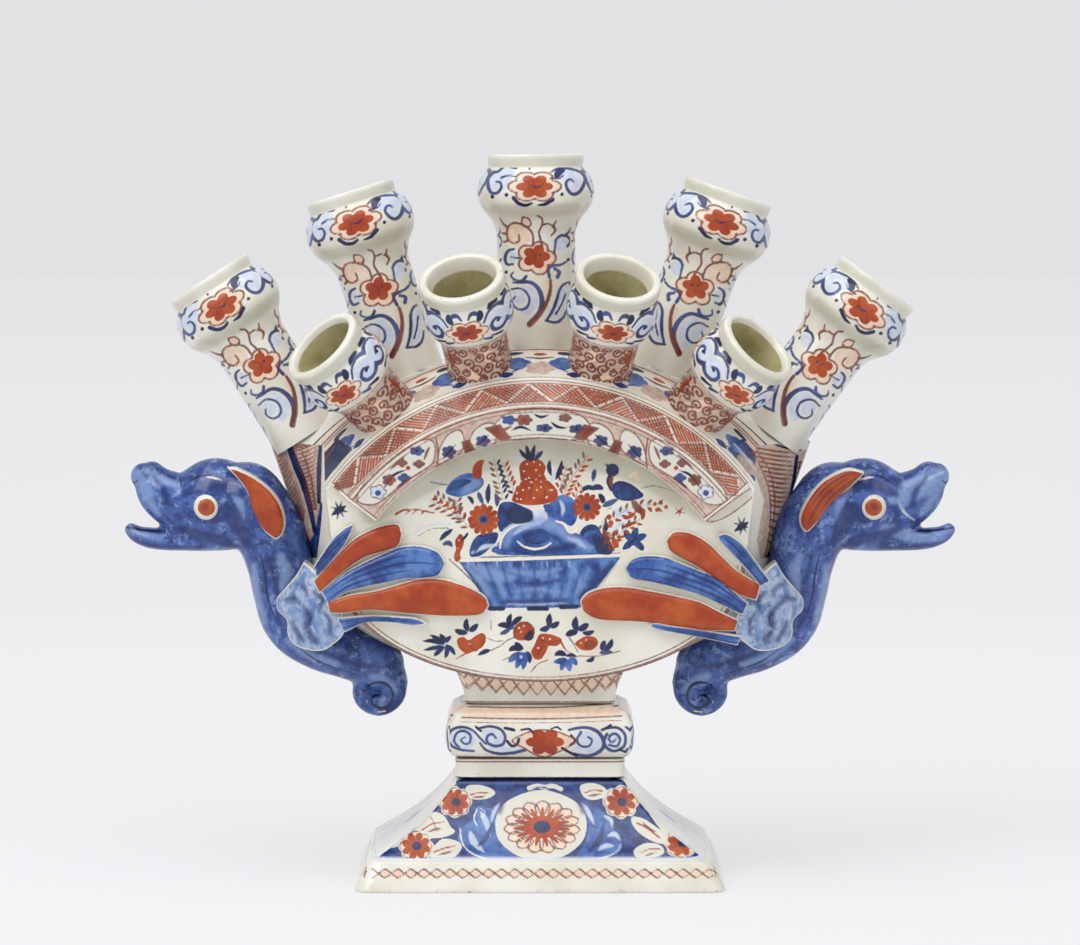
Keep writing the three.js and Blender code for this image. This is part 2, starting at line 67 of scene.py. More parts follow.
# Fan body in millimetres, as in the model
FRONT_Y, LEDGE_Y, CREST_Y, BACK_Y = -28.0, -10.0, 9.0, 27.0
BELT_Z, BODY_BOTTOM = 114.0, 72.5
DISC_CENTRE = 87.0
DISC_RADIUS, LEDGE_RADIUS, FAN_RADIUS = 93.5, 103.5, 162.0
# Height of the arc's centre, arc radius, half width at the corner and at the belt, and
# the roundness of the underside
DISC = (DISC_CENTRE, DISC_RADIUS, 76.3, 72.8, 2.0)
LEDGE = (DISC_CENTRE, LEDGE_RADIUS, 77.4, 75.0, 2.05)
FAN = (27.0, FAN_RADIUS, 98.0, 83.3, 2.15)
PANEL_MIDDLE = 122.0
DRAGON_Y = 8.0
TALL_Y, TALL_NECK, TALL_BORE = 11.0, 13.4, 9.8
SHORT_Y, SHORT_NECK, SHORT_BORE, SHORT_LENGTH = -14.0, 11.7, 8.6, 41.0
# The arched moulding: inner and outer radius, front, and half its angle
ARCH_IN, ARCH_FACE, ARCH_OUT, ARCH_Y = 72.5, 84.5, 93.5, -36.0
ARCH_END = math.radians(53)

# Layers of paint, from the first laid to the last. The first is painted shade: olive darkening
# under the arch, under the spout rims and under the tall spouts' cups.
LAYERS = (
    "pool", "deep", "ground", "blush", "reserve", "salmon", "wash", "haze", "dusk", "blue", "red",
    "light", "dark", "brown", "inside", "wear",
)
# Directions, as places in a point
DEEP, UP = 1, 2
# Paint is kept as the distance to the edge of a mark, up to this many millimetres
REACH = 1.5


class VaseSizes(bpy.types.PropertyGroup):
    panel_step: bpy.props.FloatProperty(
        name="Panel Mesh Step", description="Distance between points of the painted front",
        default=0.46 * MM, min=0.3 * MM, max=2 * MM, unit="LENGTH", precision=5,
    )
    body_step: bpy.props.FloatProperty(
        name="Body Mesh Step", description="Distance between points of the rest of the body",
        default=0.62 * MM, min=0.3 * MM, max=4 * MM, unit="LENGTH", precision=5,
    )
    edge_round: bpy.props.FloatProperty(
        name="Edge Rounding", description="Radius of the glazed edges of the body",
        default=0.8 * MM, min=0.1 * MM, max=3 * MM, unit="LENGTH", precision=4,
    )
    feather: bpy.props.FloatProperty(
        name="Feather Thickness", description="How far a feather stands out of the front",
        default=4.2 * MM, min=1 * MM, max=8 * MM, unit="LENGTH", precision=4,
    )
    clay_voxel: bpy.props.FloatProperty(
        name="Dragon Mesh Step", description="Size of the faces of the modelled dragons",
        default=0.8 * MM, min=0.5 * MM, max=3 * MM, unit="LENGTH", precision=4,
    )


class VaseColours(bpy.types.PropertyGroup):
    glaze: bpy.props.StringProperty(name="Tin Glaze", description="Bare glaze", default="#EFECE1")
    glaze_warm: bpy.props.StringProperty(
        name="Warm Glaze", description="Glaze where it lies thin", default="#E0DBC9"
    )
    cobalt: bpy.props.StringProperty(
        name="Cobalt", description="Blue brushwork", default="#2C4A8A"
    )
    cobalt_deep: bpy.props.StringProperty(
        name="Deep Cobalt", description="Blue where the brush held most", default="#182C62"
    )
    cobalt_pale: bpy.props.StringProperty(
        name="Pale Cobalt", description="Blue thinned to a wash", default="#C6D1E6"
    )
    trek: bpy.props.StringProperty(
        name="Outline Blue", description="Nearly black outlining blue", default="#131D42"
    )
    red: bpy.props.StringProperty(name="Iron Red", description="Red enamel", default="#A0340C")
    red_light: bpy.props.StringProperty(
        name="Thin Iron Red", description="Red enamel where it is thin", default="#B9541F"
    )
    salmon: bpy.props.StringProperty(
        name="Salmon", description="Red thinned to a halo", default="#EEC9AA"
    )
    brown: bpy.props.StringProperty(
        name="Brown Line", description="Red-brown outlines", default="#6B2C1E"
    )
    clay: bpy.props.StringProperty(
        name="Bare Clay", description="Body where the glaze is worn", default="#A08560"
    )
    backdrop: bpy.props.StringProperty(
        name="Backdrop", description="Background", default="#E2E2E5"
    )
    floor: bpy.props.StringProperty(name="Floor", description="Floor", default="#F3F3F5")


# Tools


def linear(code):
    """sRGB hex to linear RGBA"""
    values = [int(code[i : i + 2], 16) / 255 for i in (1, 3, 5)]
    return [v / 12.92 if v <= 0.04045 else ((v + 0.055) / 1.055) ** 2.4 for v in values] + [1.0]


def colours():
    return bpy.context.scene.vase_colours


def sizes():
    return bpy.context.scene.vase_sizes


def new_object(name, adder, **settings):
    """Adds a primitive with nothing else selected, and names it"""
    bpy.ops.object.select_all(action="DESELECT")
    adder(**settings)
    obj = bpy.context.object
    obj.name = obj.data.name = name
    return obj


def only(*objs):
    bpy.ops.object.select_all(action="DESELECT")
    for obj in objs:
        obj.select_set(True)
    bpy.context.view_layer.objects.active = objs[0]


def open_mesh(select="SELECT"):
    """Starts editing the active mesh, with all of it selected or nothing"""
    bpy.ops.object.mode_set(mode="EDIT")
    bpy.ops.mesh.select_all(action=select)


def close_mesh():
    bpy.ops.object.mode_set(mode="OBJECT")


def points_of(obj):
    flat = np.empty(len(obj.data.vertices) * 3, np.float32)
    obj.data.vertices.foreach_get("co", flat)
    return flat.reshape(-1, 3).astype(float)


def move_points(obj, points):
    obj.data.vertices.foreach_set("co", np.asarray(points, np.float32).ravel())
    obj.data.update()


def apply_modifier(obj, kind, **settings):
    only(obj)
    modifier = obj.modifiers.new(kind, kind)
    for key, value in settings.items():
        setattr(modifier, key, value)
    bpy.ops.object.modifier_apply(modifier=modifier.name)


def subdivide(obj, levels=2):
    apply_modifier(obj, "SUBSURF", levels=levels, render_levels=levels)


def place(obj, matrix):
    obj.matrix_world = matrix
    only(obj)
    bpy.ops.object.transform_apply(location=True, rotation=True, scale=True)


def copy_of(obj, name):
    only(obj)
    bpy.ops.object.duplicate(linked=False)
    twin = bpy.context.object
    twin.name = twin.data.name = name
    return twin


def mirror_copy(obj, name):
    twin = copy_of(obj, name)
    place(twin, Matrix.Scale(-1, 4, (1, 0, 0)))
    return turn_out(twin)


def turn_out(obj):
    """Turns the faces of a closed skin outwards"""
    only(obj)
    open_mesh()
    bpy.ops.mesh.normals_make_consistent(inside=False)
    close_mesh()
    return obj


def face_away(obj, centre):
    """Turns an open skin so that its faces look away from a point"""
    mesh = obj.data
    count = len(mesh.polygons)
    normals, middles = np.empty(count * 3, np.float32), np.empty(count * 3, np.float32)
    mesh.polygons.foreach_get("normal", normals)
    mesh.polygons.foreach_get("center", middles)
    away = middles.reshape(-1, 3) - np.asarray(centre)
    if np.sum(normals.reshape(-1, 3) * away) < 0:
        only(obj)
        open_mesh()
        bpy.ops.mesh.flip_normals()
        close_mesh()
    return obj


def finish_piece(obj, *nodes, slot="tin_glaze", look="tin_glaze"):
    """Smooths, glazes and seats a finished piece in place of its CAD nodes. A painted piece has
    the look of white glaze. slot, meant for the colour that covers it, is not used."""
    obj.data.materials.clear()
    obj.data.materials.append(glaze(look))
    only(obj)
    bpy.ops.object.shade_smooth_by_angle(angle=math.radians(42))
    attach(obj, "root")
    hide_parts(*nodes)
    return obj


def sheet_of_quads(name, columns, rows, shape):
    """A grid primitive whose points are carried to shape(s, t), both from 0 to 1. The
    painted skins need an even mesh of a hundred columns or more, finer than cuts give."""
    obj = new_object(
        name, bpy.ops.mesh.primitive_grid_add,
        x_subdivisions=columns, y_subdivisions=rows, size=2,
    )
    flat = points_of(obj)
    move_points(obj, shape((flat[:, 0] + 1) / 2, (flat[:, 1] + 1) / 2) * MM)
    return obj


def smooth_run(points, share=8):
    """Points along a smooth curve through the given ones"""
    points = np.asarray(points, float)
    if len(points) < 3:
        return points
    padded = np.vstack([2 * points[0] - points[1], points, 2 * points[-1] - points[-2]])
    t = np.linspace(0, 1, share, endpoint=False)[:, None]
    runs = []
    for a, b, c, d in zip(padded, padded[1:], padded[2:], padded[3:]):
        runs.append(
            0.5 * (2 * b + (c - a) * t + (2 * a - 5 * b + 4 * c - d) * t**2
                   + (3 * b - a - 3 * c + d) * t**3)
        )
    return np.vstack([*runs, points[-1:]])


# Painting


class Drawing:
    """Brush marks on a flat drawing, each a run of points with its half widths, or an
    outline that is filled"""

    def __init__(self, table=""):
        self.marks = []
        self.draw(table)

    def line(self, layer, run, width):
        """A straight stroke from point to point. width is one number, or one for each of a
        few places along the stroke."""
        widths, run = np.atleast_1d(width), np.asarray(run, float)
        places = np.linspace(0, 1, len(run))
        half = np.interp(places, np.linspace(0, 1, len(widths)), widths) / 2
        self.marks.append((layer, run, half))

    def stroke(self, layer, points, width):
        """The same along a smooth curve"""
        self.line(layer, smooth_run(points), width)

    def area(self, layer, points):
        self.marks.append((layer, np.asarray(points, float), None))

    def leaf(self, layer, points, width):
        self.stroke(layer, points, np.array((0.3, 0.9, 1.0, 0.75, 0.2)) * width)

    def draw(self, table):
        """Adds a table of marks, on each line a layer, the way it is laid and its places:
        round or flat for a filled outline, halo and the width of a brown line round it,
        bloom and that width with the middle, radii, count and depth of its lobes, leaf or
        dots and a width, or the widths of a stroke. An indented line goes on with the one
        before."""
        for line in table.replace("\n ", " ").strip().splitlines():
            layer, way, *places = line.split()
            points = np.array([[float(v) for v in pair.split(",")] for pair in places])
            if way == "round" or way.startswith("halo"):
                ring = smooth_run(np.vstack([points[-1:], points, points[:2]]), 4)[4:-4]
                self.area(layer, ring)
                if way != "round":
                    self.line("brown", np.vstack([ring, ring[:1]]), float(way[4:]))
            elif way.startswith("bloom"):
                (x, y), (rx, ry), (lobes, depth) = points
                ring = lobed(x, y, rx, ry, int(lobes), depth)
                self.area(layer, ring)
                if float(way[5:]):
                    self.line("brown", np.vstack([ring, ring[:1]]), float(way[5:]))
            elif way == "flat":
                self.area(layer, points)
            elif way.startswith("leaf"):
                self.leaf(layer, points, float(way[4:]))
            elif way.startswith("dots"):
                for point in points:
                    self.stroke(layer, [point], float(way[4:]))
            else:
                self.stroke(layer, points, [float(v) for v in way.split(",")])
        return self

    def both_sides(self, middle):
        """The drawing together with its mirror image in an upright line"""
        pair = Drawing()
        for layer, run, half in self.marks:
            pair.marks += [(layer, run, half), (layer, run * (-1, 1) + (2 * middle, 0), half)]
        return pair

    def add(self, other, move=(0, 0), scale=(1, 1), weight=1):
        """Adds another drawing moved and scaled, with its strokes as many times as wide"""
        for layer, run, half in other.marks:
            size = None if half is None else half * scale[1] * weight
            self.marks.append((layer, run * scale + move, size))
        return self


def run_distance(points, run, half):
    best = np.full(len(points), 1e9)
    if len(run) == 1:
        return np.hypot(*(points - run[0]).T) - half[0]
    for a, b, ra, rb in zip(run, run[1:], half, half[1:]):
        way = b - a
        t = np.clip(((points - a) @ way) / max(way @ way, 1e-12), 0, 1)
        gap = np.hypot(*(points - a - t[:, None] * way).T) - (ra + (rb - ra) * t)
        np.minimum(best, gap, out=best)
    return best


def outline_distance(points, outline):
    closed = np.vstack([outline, outline[:1]])
    best = run_distance(points, closed, np.zeros(len(closed)))
    inside = np.zeros(len(points), bool)
    x, y = points.T
    for (ax, ay), (bx, by) in zip(closed, closed[1:]):
        crosses = (ay > y) != (by > y)
        if crosses.any():
            where = ax + (y - ay) * (bx - ax) / (by - ay if by != ay else 1e-12)
            inside ^= crosses & (x < where)
    return np.where(inside, -best, best)


def soft_edge(gap):
    """How strongly a mark is kept at a distance outside its edge, in millimetres"""
    return np.clip(0.5 - gap / (2 * REACH), 0, 1)


def paint(obj, drawing, flat, unit=1.0, keep=None):
    """Keeps each layer of a drawing on the mesh's points. flat is where every point lies
    on the drawing, unit how many millimetres one step of the drawing is, and keep which
    points are painted."""
    pad = REACH / unit
    values = {}
    for layer, run, half in drawing.marks:
        reach = pad + (0 if half is None else half.max())
        low, high = run.min(0) - reach, run.max(0) + reach
        near = np.all((flat > low) & (flat < high), axis=1)
        if keep is not None:
            near &= keep
        index = np.flatnonzero(near)
        if not len(index):
            continue
        if half is None:
            gap = outline_distance(flat[index], run)
        else:
            gap = run_distance(flat[index], run, half)
        value = soft_edge(gap * unit)
        layer_values = values.setdefault(layer, np.zeros(len(flat)))
        layer_values[index] = np.maximum(layer_values[index], value)
    for layer, value in values.items():
        add_layer(obj, layer, value)


def add_layer(obj, layer, value):
    name = "paint_" + layer
    attribute = obj.data.attributes.get(name)
    if attribute is None:
        attribute = obj.data.attributes.new(name, "FLOAT", "POINT")
    before = np.zeros(len(value), np.float32)
    attribute.data.foreach_get("value", before)
    attribute.data.foreach_set("value", np.maximum(before, value).astype(np.float32))


def line_round(obj, axis, level, width, layer):
    """A line brushed all round a piece at a height or a depth, in millimetres"""
    gap = np.abs(points_of(obj)[:, axis] / MM - level) - width / 2
    add_layer(obj, layer, soft_edge(gap))


def sight(points):
    """Where points in metres are seen in the picture, in its pixels"""
    ahead, above = points[:, 1] - EYE_Y, points[:, 2] - EYE_Z
    depth = ahead * math.cos(PITCH) - above * math.sin(PITCH)
    rise = ahead * math.sin(PITCH) + above * math.cos(PITCH)
    across = PICTURE[0] / 2 + FOCAL_PX * points[:, 0] / depth
    down = PICTURE[1] / 2 - FOCAL_PX * rise / depth
    return np.column_stack([across, down])


# Millimetres to a pixel of the picture, and the upright middle of the vase in it
SIGHT_MM = 0.36
PANEL_AXIS = 542


def seen_at(across, down, y):
    """The point of the upright plane at a depth y that is seen at a place of the picture,
    as x and z, all but the place in millimetres"""
    right = (np.asarray(across, float) - PICTURE[0] / 2) / FOCAL_PX
    rise = (PICTURE[1] / 2 - np.asarray(down, float)) / FOCAL_PX
    ahead = math.cos(PITCH) + rise * math.sin(PITCH)
    reach = (np.asarray(y, float) * MM - EYE_Y) / ahead
    up = EYE_Z + reach * (rise * math.cos(PITCH) - math.sin(PITCH))
    return np.column_stack([right * reach, up]) / MM


def paint_seen(obj, drawing, co, keep=None):
    """Paints a drawing in picture pixels on the points that are seen there from co"""
    paint(obj, drawing, sight(co), SIGHT_MM, keep)


# How much narrower a drawing lies on the short ends of a block than on its front
END_SQUEEZE = 1.3


def paint_round(obj, art, keep, share, end_art=None):
    """Paints the front of a block as it is seen, the back the same, and the two ends with
    their own drawing or the same one, narrowed to them. share is the block's length over
    its depth."""
    co = points_of(obj)
    x, y, z = co.T
    at_end = np.abs(y) * share <= np.abs(x)
    for side in (1, -1):
        seen = co * (side, side, 1)
        paint_seen(obj, art, seen, keep & ~at_end & (seen[:, 1] < 0))
        seen = np.column_stack([y * side * END_SQUEEZE, -x * side / END_SQUEEZE, z])
        paint_seen(obj, end_art or art, seen, keep & at_end & (x * side > 0))


# Motifs of the painter


def lobed(x, y, rx, ry, lobes, depth):
    """Outline with round lobes"""
    angles = np.linspace(0, 2 * math.pi, 12 * lobes, endpoint=False)
    swell = 1 - depth + depth * np.abs(np.cos(lobes * angles / 2)) ** 0.8 * 1.6
    return np.column_stack([np.cos(angles) * rx * swell, np.sin(angles) * ry * swell]) + (x, y)


# Widths along a small leaf
SMALL_LEAF = (0.98, 2.8, 2.52, 0.56)


def rosette(art, x, y, r):
    """Orange-red flower with a blue eye"""
    for a in np.linspace(0, 2 * math.pi, 12, endpoint=False):
        way = np.array([math.cos(a), math.sin(a)])
        art.line("red", [way * 0.45 * r + (x, y), way * 0.86 * r + (x, y)], (0.3 * r, 0.4 * r))
        art.line("brown", [way * 0.5 * r + (x, y), way * 0.98 * r + (x, y)], (1.4, 1))
    art.line("blue", [(x - 0.01, y), (x + 0.01, y)], 0.84 * r)
    art.line("dark", [(x - 0.01, y), (x + 0.01, y)], 0.4 * r)


def sprig(art, points, pairs, size, layers):
    """Stem with small leaves in pairs, of a layer on each side"""
    run = smooth_run(points, 12)
    art.stroke("brown", points, 0.7)
    for i in range(pairs):
        k = int((i + 0.6) / pairs * (len(run) - 2))
        way = run[k + 1] - run[k]
        way = way / np.hypot(*way)
        side = np.array([-way[1], way[0]])
        for sign, layer in zip((1, -1), layers):
            tip = run[k] + (way * 0.75 + side * sign) * size
            root = run[k] + side * sign * 0.25 * size
            art.stroke(layer, [root, (root + tip) / 2, tip], SMALL_LEAF)


# Glazes


def add(tree, kind, inputs=None, **settings):
    """Adds a node with its settings, and its inputs as values or links"""
    node = tree.nodes.new(kind)
    for key, value in settings.items():
        setattr(node, key, value)
    for key, value in (inputs or {}).items():
        if isinstance(value, bpy.types.NodeSocket):
            tree.links.new(value, node.inputs[key])
        else:
            node.inputs[key].default_value = value
    return node


def mix(tree, share, first, second):
    return add(
        tree, "ShaderNodeMix", {0: share, 6: first, 7: second}, data_type="RGBA"
    ).outputs[2]


def noise(tree, where, millimetres, detail, roughness=0.5):
    """Noise whose grain has a size in millimetres, about its middle value"""
    return add(
        tree, "ShaderNodeTexNoise",
        {"Vector": where, "Scale": 1000 / millimetres, "Detail": detail, "Roughness": roughness},
    ).outputs[0]


def ramp(tree, value, low, high):
    return add(
        tree, "ShaderNodeMapRange", {0: value, 1: low, 2: high}, interpolation_type="SMOOTHSTEP"
    ).outputs[0]


def reckon(tree, operation, *values):
    return add(
        tree, "ShaderNodeMath", dict(enumerate(values)), operation=operation
    ).outputs[0]


# Roughness of the glaze, and how much rougher the red enamel is
GLAZE_ROUGH, ENAMEL_ROUGHER = 0.15, 0.16


def painted_glaze(name, base):
    """Opaque tin glaze with colours painted in it: glossy, faintly dimpled, soft where the
    cobalt ran into it, and the iron red a little duller on top"""
    material = bpy.data.materials.new(name)
    material.use_nodes = True
    tree = material.node_tree
    tree.nodes.clear()
    hues = colours()
    where = add(tree, "ShaderNodeTexCoord").outputs["Object"]
    fine = noise(tree, where, 1.1, 2)
    cloud = noise(tree, where, 2.6, 3, 0.6)
    broad = noise(tree, where, 9, 3, 0.6)
    wobble = reckon(tree, "MULTIPLY", reckon(tree, "SUBTRACT", fine, 0.5), 0.1)
    colour = base(tree, where)

    def two(share, low, high, first, second):
        return mix(tree, ramp(tree, share, low, high), linear(first), linear(second))

    paints = {
        "deep": (two(cloud, 0.36, 0.68, "#172A62", "#2F4F90"), 0.05, 1.0),
        # Painted shade: olive darkening under the arched moulding, under the spout rims and under
        # the tall spouts' cups
        "pool": (linear("#A29E7A"), 0.45, 0.42),
        "ground": (mix(tree, ramp(tree, broad, 0.4, 0.66),
                       two(cloud, 0.3, 0.7, "#1D3B80", "#365EA8"), linear("#5A82C0")), 0.05, 1.0),
        "blush": (two(cloud, 0.3, 0.7, "#B89684", "#D4BDAC"), 0.1, 0.9),
        "salmon": (two(cloud, 0.3, 0.7, hues.salmon, "#F3DCC8"), 0.08, 0.9),
        "wash": (two(cloud, 0.35, 0.7, hues.cobalt_pale, "#DAE2EE"), 0.14, 0.85),
        # Pale and navy washes; on the dragons they are also painted light and painted shade
        "haze": (linear("#8FA9D6"), 0.4, 0.62),
        "dusk": (linear("#12286A"), 0.35, 0.82),
        "reserve": (linear("#DEDACD"), 0.05, 1.0),
        "blue": (two(broad, 0.38, 0.62, hues.cobalt_deep, hues.cobalt), 0.08, 0.96),
        "red": (two(broad, 0.36, 0.7, hues.red, hues.red_light), 0.05, 1.0),
        # Cream-white paint, and on the dragons painted highlights
        "light": (linear("#F2EADB"), 0.06, 0.95),
        "dark": (two(broad, 0.4, 0.65, hues.trek, "#22305E"), 0.07, 1.0),
        "brown": (two(broad, 0.4, 0.65, hues.brown, "#8A4029"), 0.07, 0.92),
        "inside": (two(broad, 0.35, 0.65, "#9C9366", "#B5AB80"), 0.2, 1.0),
    }
    dull = None
    for layer in LAYERS[:-1]:
        pigment, soft, strength = paints[layer]
        amount = add(tree, "ShaderNodeAttribute", attribute_name="paint_" + layer).outputs["Fac"]
        edge = reckon(tree, "ADD", amount, wobble)
        mask = ramp(tree, edge, 0.5 - soft, 0.5 + soft)
        if layer == "red":
            dull = mask
        colour = mix(tree, reckon(tree, "MULTIPLY", mask, strength), colour, pigment)
    amount = add(tree, "ShaderNodeAttribute", attribute_name="paint_wear").outputs["Fac"]
    patch = ramp(tree, noise(tree, where, 3.2, 4, 0.7), 0.55, 0.7)
    patch = reckon(tree, "MULTIPLY", amount, patch)
    colour = mix(tree, patch, colour, linear(hues.clay))

    gloss = reckon(tree, "ADD", reckon(tree, "MULTIPLY", dull, ENAMEL_ROUGHER), GLAZE_ROUGH)
    dimple = add(
        tree, "ShaderNodeBump",
        {"Strength": 0.25, "Distance": 0.12 * MM, "Height": noise(tree, where, 5, 2)},
    ).outputs[0]
    ripple = add(
        tree, "ShaderNodeBump",
        {"Strength": 0.2, "Distance": 0.03 * MM, "Height": fine, "Normal": dimple},
    ).outputs[0]
    surface = add(
        tree, "ShaderNodeBsdfPrincipled",
        {"Base Color": colour, "Roughness": gloss, "IOR": 1.5, "Normal": ripple},
    ).outputs[0]
    add(tree, "ShaderNodeOutputMaterial", {0: surface})
    return material


def white_base(tree, where):
    """Milk-white glaze, warmer where it lies thin, with a few pinholes"""
    hues = colours()
    cloud = ramp(tree, noise(tree, where, 22, 3), 0.35, 0.7)
    colour = mix(tree, cloud, linear(hues.glaze), linear(hues.glaze_warm))
    spots = add(
        tree, "ShaderNodeTexVoronoi", {"Vector": where, "Scale": 1000 / 7.0}
    ).outputs["Distance"]
    pinholes = reckon(tree, "MULTIPLY", ramp(tree, spots, 0.045, 0.02), 0.5)
    return mix(tree, pinholes, colour, linear("#6D6350"))


def cobalt_base(tree, where):
    """Cobalt brushed thickly over the glaze: clouded navy and mid blue, with darker strokes
    and thin places where the white shows through"""
    cloud = noise(tree, where, 9, 4, 0.65)
    strokes = noise(tree, where, 2.6, 4, 0.7)
    colour = mix(tree, ramp(tree, cloud, 0.38, 0.62), linear("#233F84"), linear("#4B69B0"))
    colour = mix(
        tree, reckon(tree, "MULTIPLY", ramp(tree, strokes, 0.52, 0.62), 0.75), colour,
        linear("#1B2A5C"),
    )
    pale = reckon(tree, "MULTIPLY", ramp(tree, noise(tree, where, 4, 5, 0.7), 0.52, 0.64), 0.6)
    return mix(tree, pale, colour, linear("#93ABD8"))


def pale_base(tree, where):
    """Thin cobalt, mottled from nearly white to mid blue"""
    cloud = noise(tree, where, 5, 4, 0.65)
    colour = mix(tree, ramp(tree, cloud, 0.36, 0.64), linear("#6183B8"), linear("#B4C4DC"))
    strokes = ramp(tree, noise(tree, where, 2.4, 3, 0.6), 0.55, 0.68)
    return mix(tree, reckon(tree, "MULTIPLY", strokes, 0.5), colour, linear("#37568F"))


BASES = {
    "tin_glaze": white_base, "cobalt_glaze": cobalt_base, "pale_cobalt_glaze": pale_base,
    "iron_red_glaze": white_base,
}


def glaze(slot):
    name = slot.replace("_glaze", " on tin-glazed earthenware").replace("_", " ")
    return bpy.data.materials.get(name) or painted_glaze(name, BASES[slot])


# Foot and stem


def block(name, half_x, half_y, corner, steps, cuts):
    """A moulded block: a rounded rectangle raised ring by ring. steps holds the height and
    the two half widths of each ring, in millimetres."""
    z0, x0, y0 = steps[0]
    obj = new_object(name, bpy.ops.mesh.primitive_plane_add, size=2)
    open_mesh()
    bpy.ops.transform.resize(value=(half_x * MM, half_y * MM, 1))
    bpy.ops.mesh.bevel(
        affect="VERTICES", offset_type="OFFSET", offset=corner * MM, segments=3, profile=0.5
    )
    bpy.ops.mesh.select_all(action="DESELECT")
    close_mesh()
    for edge in obj.data.edges:
        a, b = (obj.data.vertices[i].co for i in edge.vertices)
        edge.select = (a - b).length > corner * MM
    bpy.ops.object.mode_set(mode="EDIT")
    bpy.ops.mesh.select_mode(type="EDGE")
    bpy.ops.mesh.subdivide(number_cuts=cuts)
    bpy.ops.mesh.select_all(action="SELECT")
    bpy.ops.mesh.delete(type="ONLY_FACE")
    bpy.ops.mesh.select_all(action="SELECT")
    bpy.ops.transform.resize(value=(x0 / half_x, y0 / half_y, 1))
    bpy.ops.transform.translate(value=(0, 0, z0 * MM))
    for (za, xa, ya), (zb, xb, yb) in zip(steps, steps[1:]):
        bpy.ops.mesh.extrude_region_move(
            TRANSFORM_OT_translate={"value": (0, 0, (zb - za) * MM)}
        )
        bpy.ops.transform.resize(
            value=(xb / xa, yb / ya, 1), center_override=(0, 0, zb * MM)
        )
    close_mesh()
    subdivide(obj)
    return turn_out(obj)


def between(marks, gap):
    """Fills rings in between the marked ones, no further apart than gap"""
    rings = [marks[0]]
    for a, b in zip(marks, marks[1:]):
        length = math.dist(a, b)
        count = max(1, round(length / gap))
        for i in range(1, count + 1):
            rings.append(tuple(p + (q - p) * i / count for p, q in zip(a, b)))
    return rings


def flare_rings(count):
    """The hollow curve of the foot, from the plinth to the stem"""
    start, end = np.array([12.0, 58.9, 42.7]), np.array([36.9, 30.7, 22.4])
    bend = np.array([12 + 0.46 * 24.9, 30.3 + 0.3 * 28.6, 22 + 0.3 * 20.7])
    rings = []
    for t in np.linspace(0, 1, count):
        rings.append(tuple((1 - t) ** 2 * start + 2 * t * (1 - t) * bend + t * t * end))
    return rings


FOOT = """
deep flat 541,776 456,776 456,784 446,792 440,800 432,812 416,823 402,832 398,839 386,843 377,850
 377,857 400,860 541,861 690,859 704,853 700,845 684,836 664,834 654,821 642,803 630,793 626,784
 626,776
dark 2.4 456,780 500,780 541,780 590,780 627,780
ground round 505,797 492,808 478,806 474,818 462,828 458,842 470,856 495,862 525,862 508,850
 498,835 497,818
dusk 5,6,5 470,780 500,779 541,778 582,779 612,780
dusk 4,6,4 512,790 503,800 500,812
dusk 4,6,4 570,790 579,800 583,812
wash leaf7 470,832 474,842 484,852
wash leaf6 481,812 486,822 490,836
wash leaf4 500,803 494,812 491,822
light 1.5 460,828 462,842 470,852 486,859 505,862
light 1.4 477,809 474,818 477,826
reserve 1.2 480,808 485,812 482,818
blue leaf5 478,846 486,838 492,824
ground round 580,800 592,806 604,812 612,826 622,842 618,853 598,858 572,861 584,846 588,826
wash leaf5 581,803 588,812 594,824
wash leaf4 604,816 611,820 612,828
wash leaf5 608,836 615,834 620,840
light 1.6 621,844 616,852 602,858 578,861
wash leaf5 598,850 606,846 614,846
blue leaf6 590,850 600,838 604,822
reserve round 541,790 560,794 577,803 586,818 585,836 575,849 559,858 541,861 523,858 507,849
 497,836 496,818 505,803 522,794
reserve 4.5 529,788 537,786 545,787 553,786 561,789
blue 1.6 533,789 541,787 549,789
reserve round 467,786 480,785 492,789 495,794 486,799 472,799 466,794
reserve round 432,812 444,816 450,826 455,832 444,837 430,838 418,832 416,822
reserve round 440,840 454,840 462,846 456,856 444,860 430,856
reserve round 378,842 392,833 403,836 402,844 390,848
reserve round 580,786 592,783 604,787 607,795 595,800 584,797
reserve round 631,818 642,818 656,827 668,836 664,844 650,840 636,830
reserve round 634,850 646,843 660,845 664,853 650,859 637,858
red 1.8 470,795 478,793 488,793
brown leaf2.4 472,797 480,797 486,796
red 1.6 422,830 432,824 444,822
brown leaf2.6 428,832 436,829 443,829
brown 1.2 430,816 434,823 437,831
red 1.6 434,852 445,848 455,846
brown leaf2.2 438,855 446,853 453,851
red 1.6 384,842 392,839 400,839
red 1.8 585,793 593,790 602,791
brown leaf2.6 588,796 595,795 601,794
red 1.8 637,823 647,828 660,838
brown leaf2.4 642,822 650,829 657,832
red 1.6 640,853 650,849 660,849
brown leaf2.2 644,856 651,854 657,852
wash 1.4 396,838 408,818 428,803 446,793
wash 1.4 630,787 654,800 678,815 696,832 702,848
haze 4.4 380,861 460,862 548,862 620,862 700,861
blue 1.2 392,862.5 470,864 548,864 620,864 702,862.5
"""
FOOT_END_HALF = """
wash 2.6,4,2.6 476,786 458,806 432,828 402,848 392,856
wash bloom0 542,830 30,20 8,0.24
blue bloom0 542,830 11,8 6,0.24
wash leaf9 520,806 506,798 500,790
wash leaf11 494,848 474,840 462,824
wash leaf8 484,852 460,852 440,846
blue 1,2,1 522,846 504,838 490,820 484,806
blue 0.9 412,858 542,860 672,858
"""


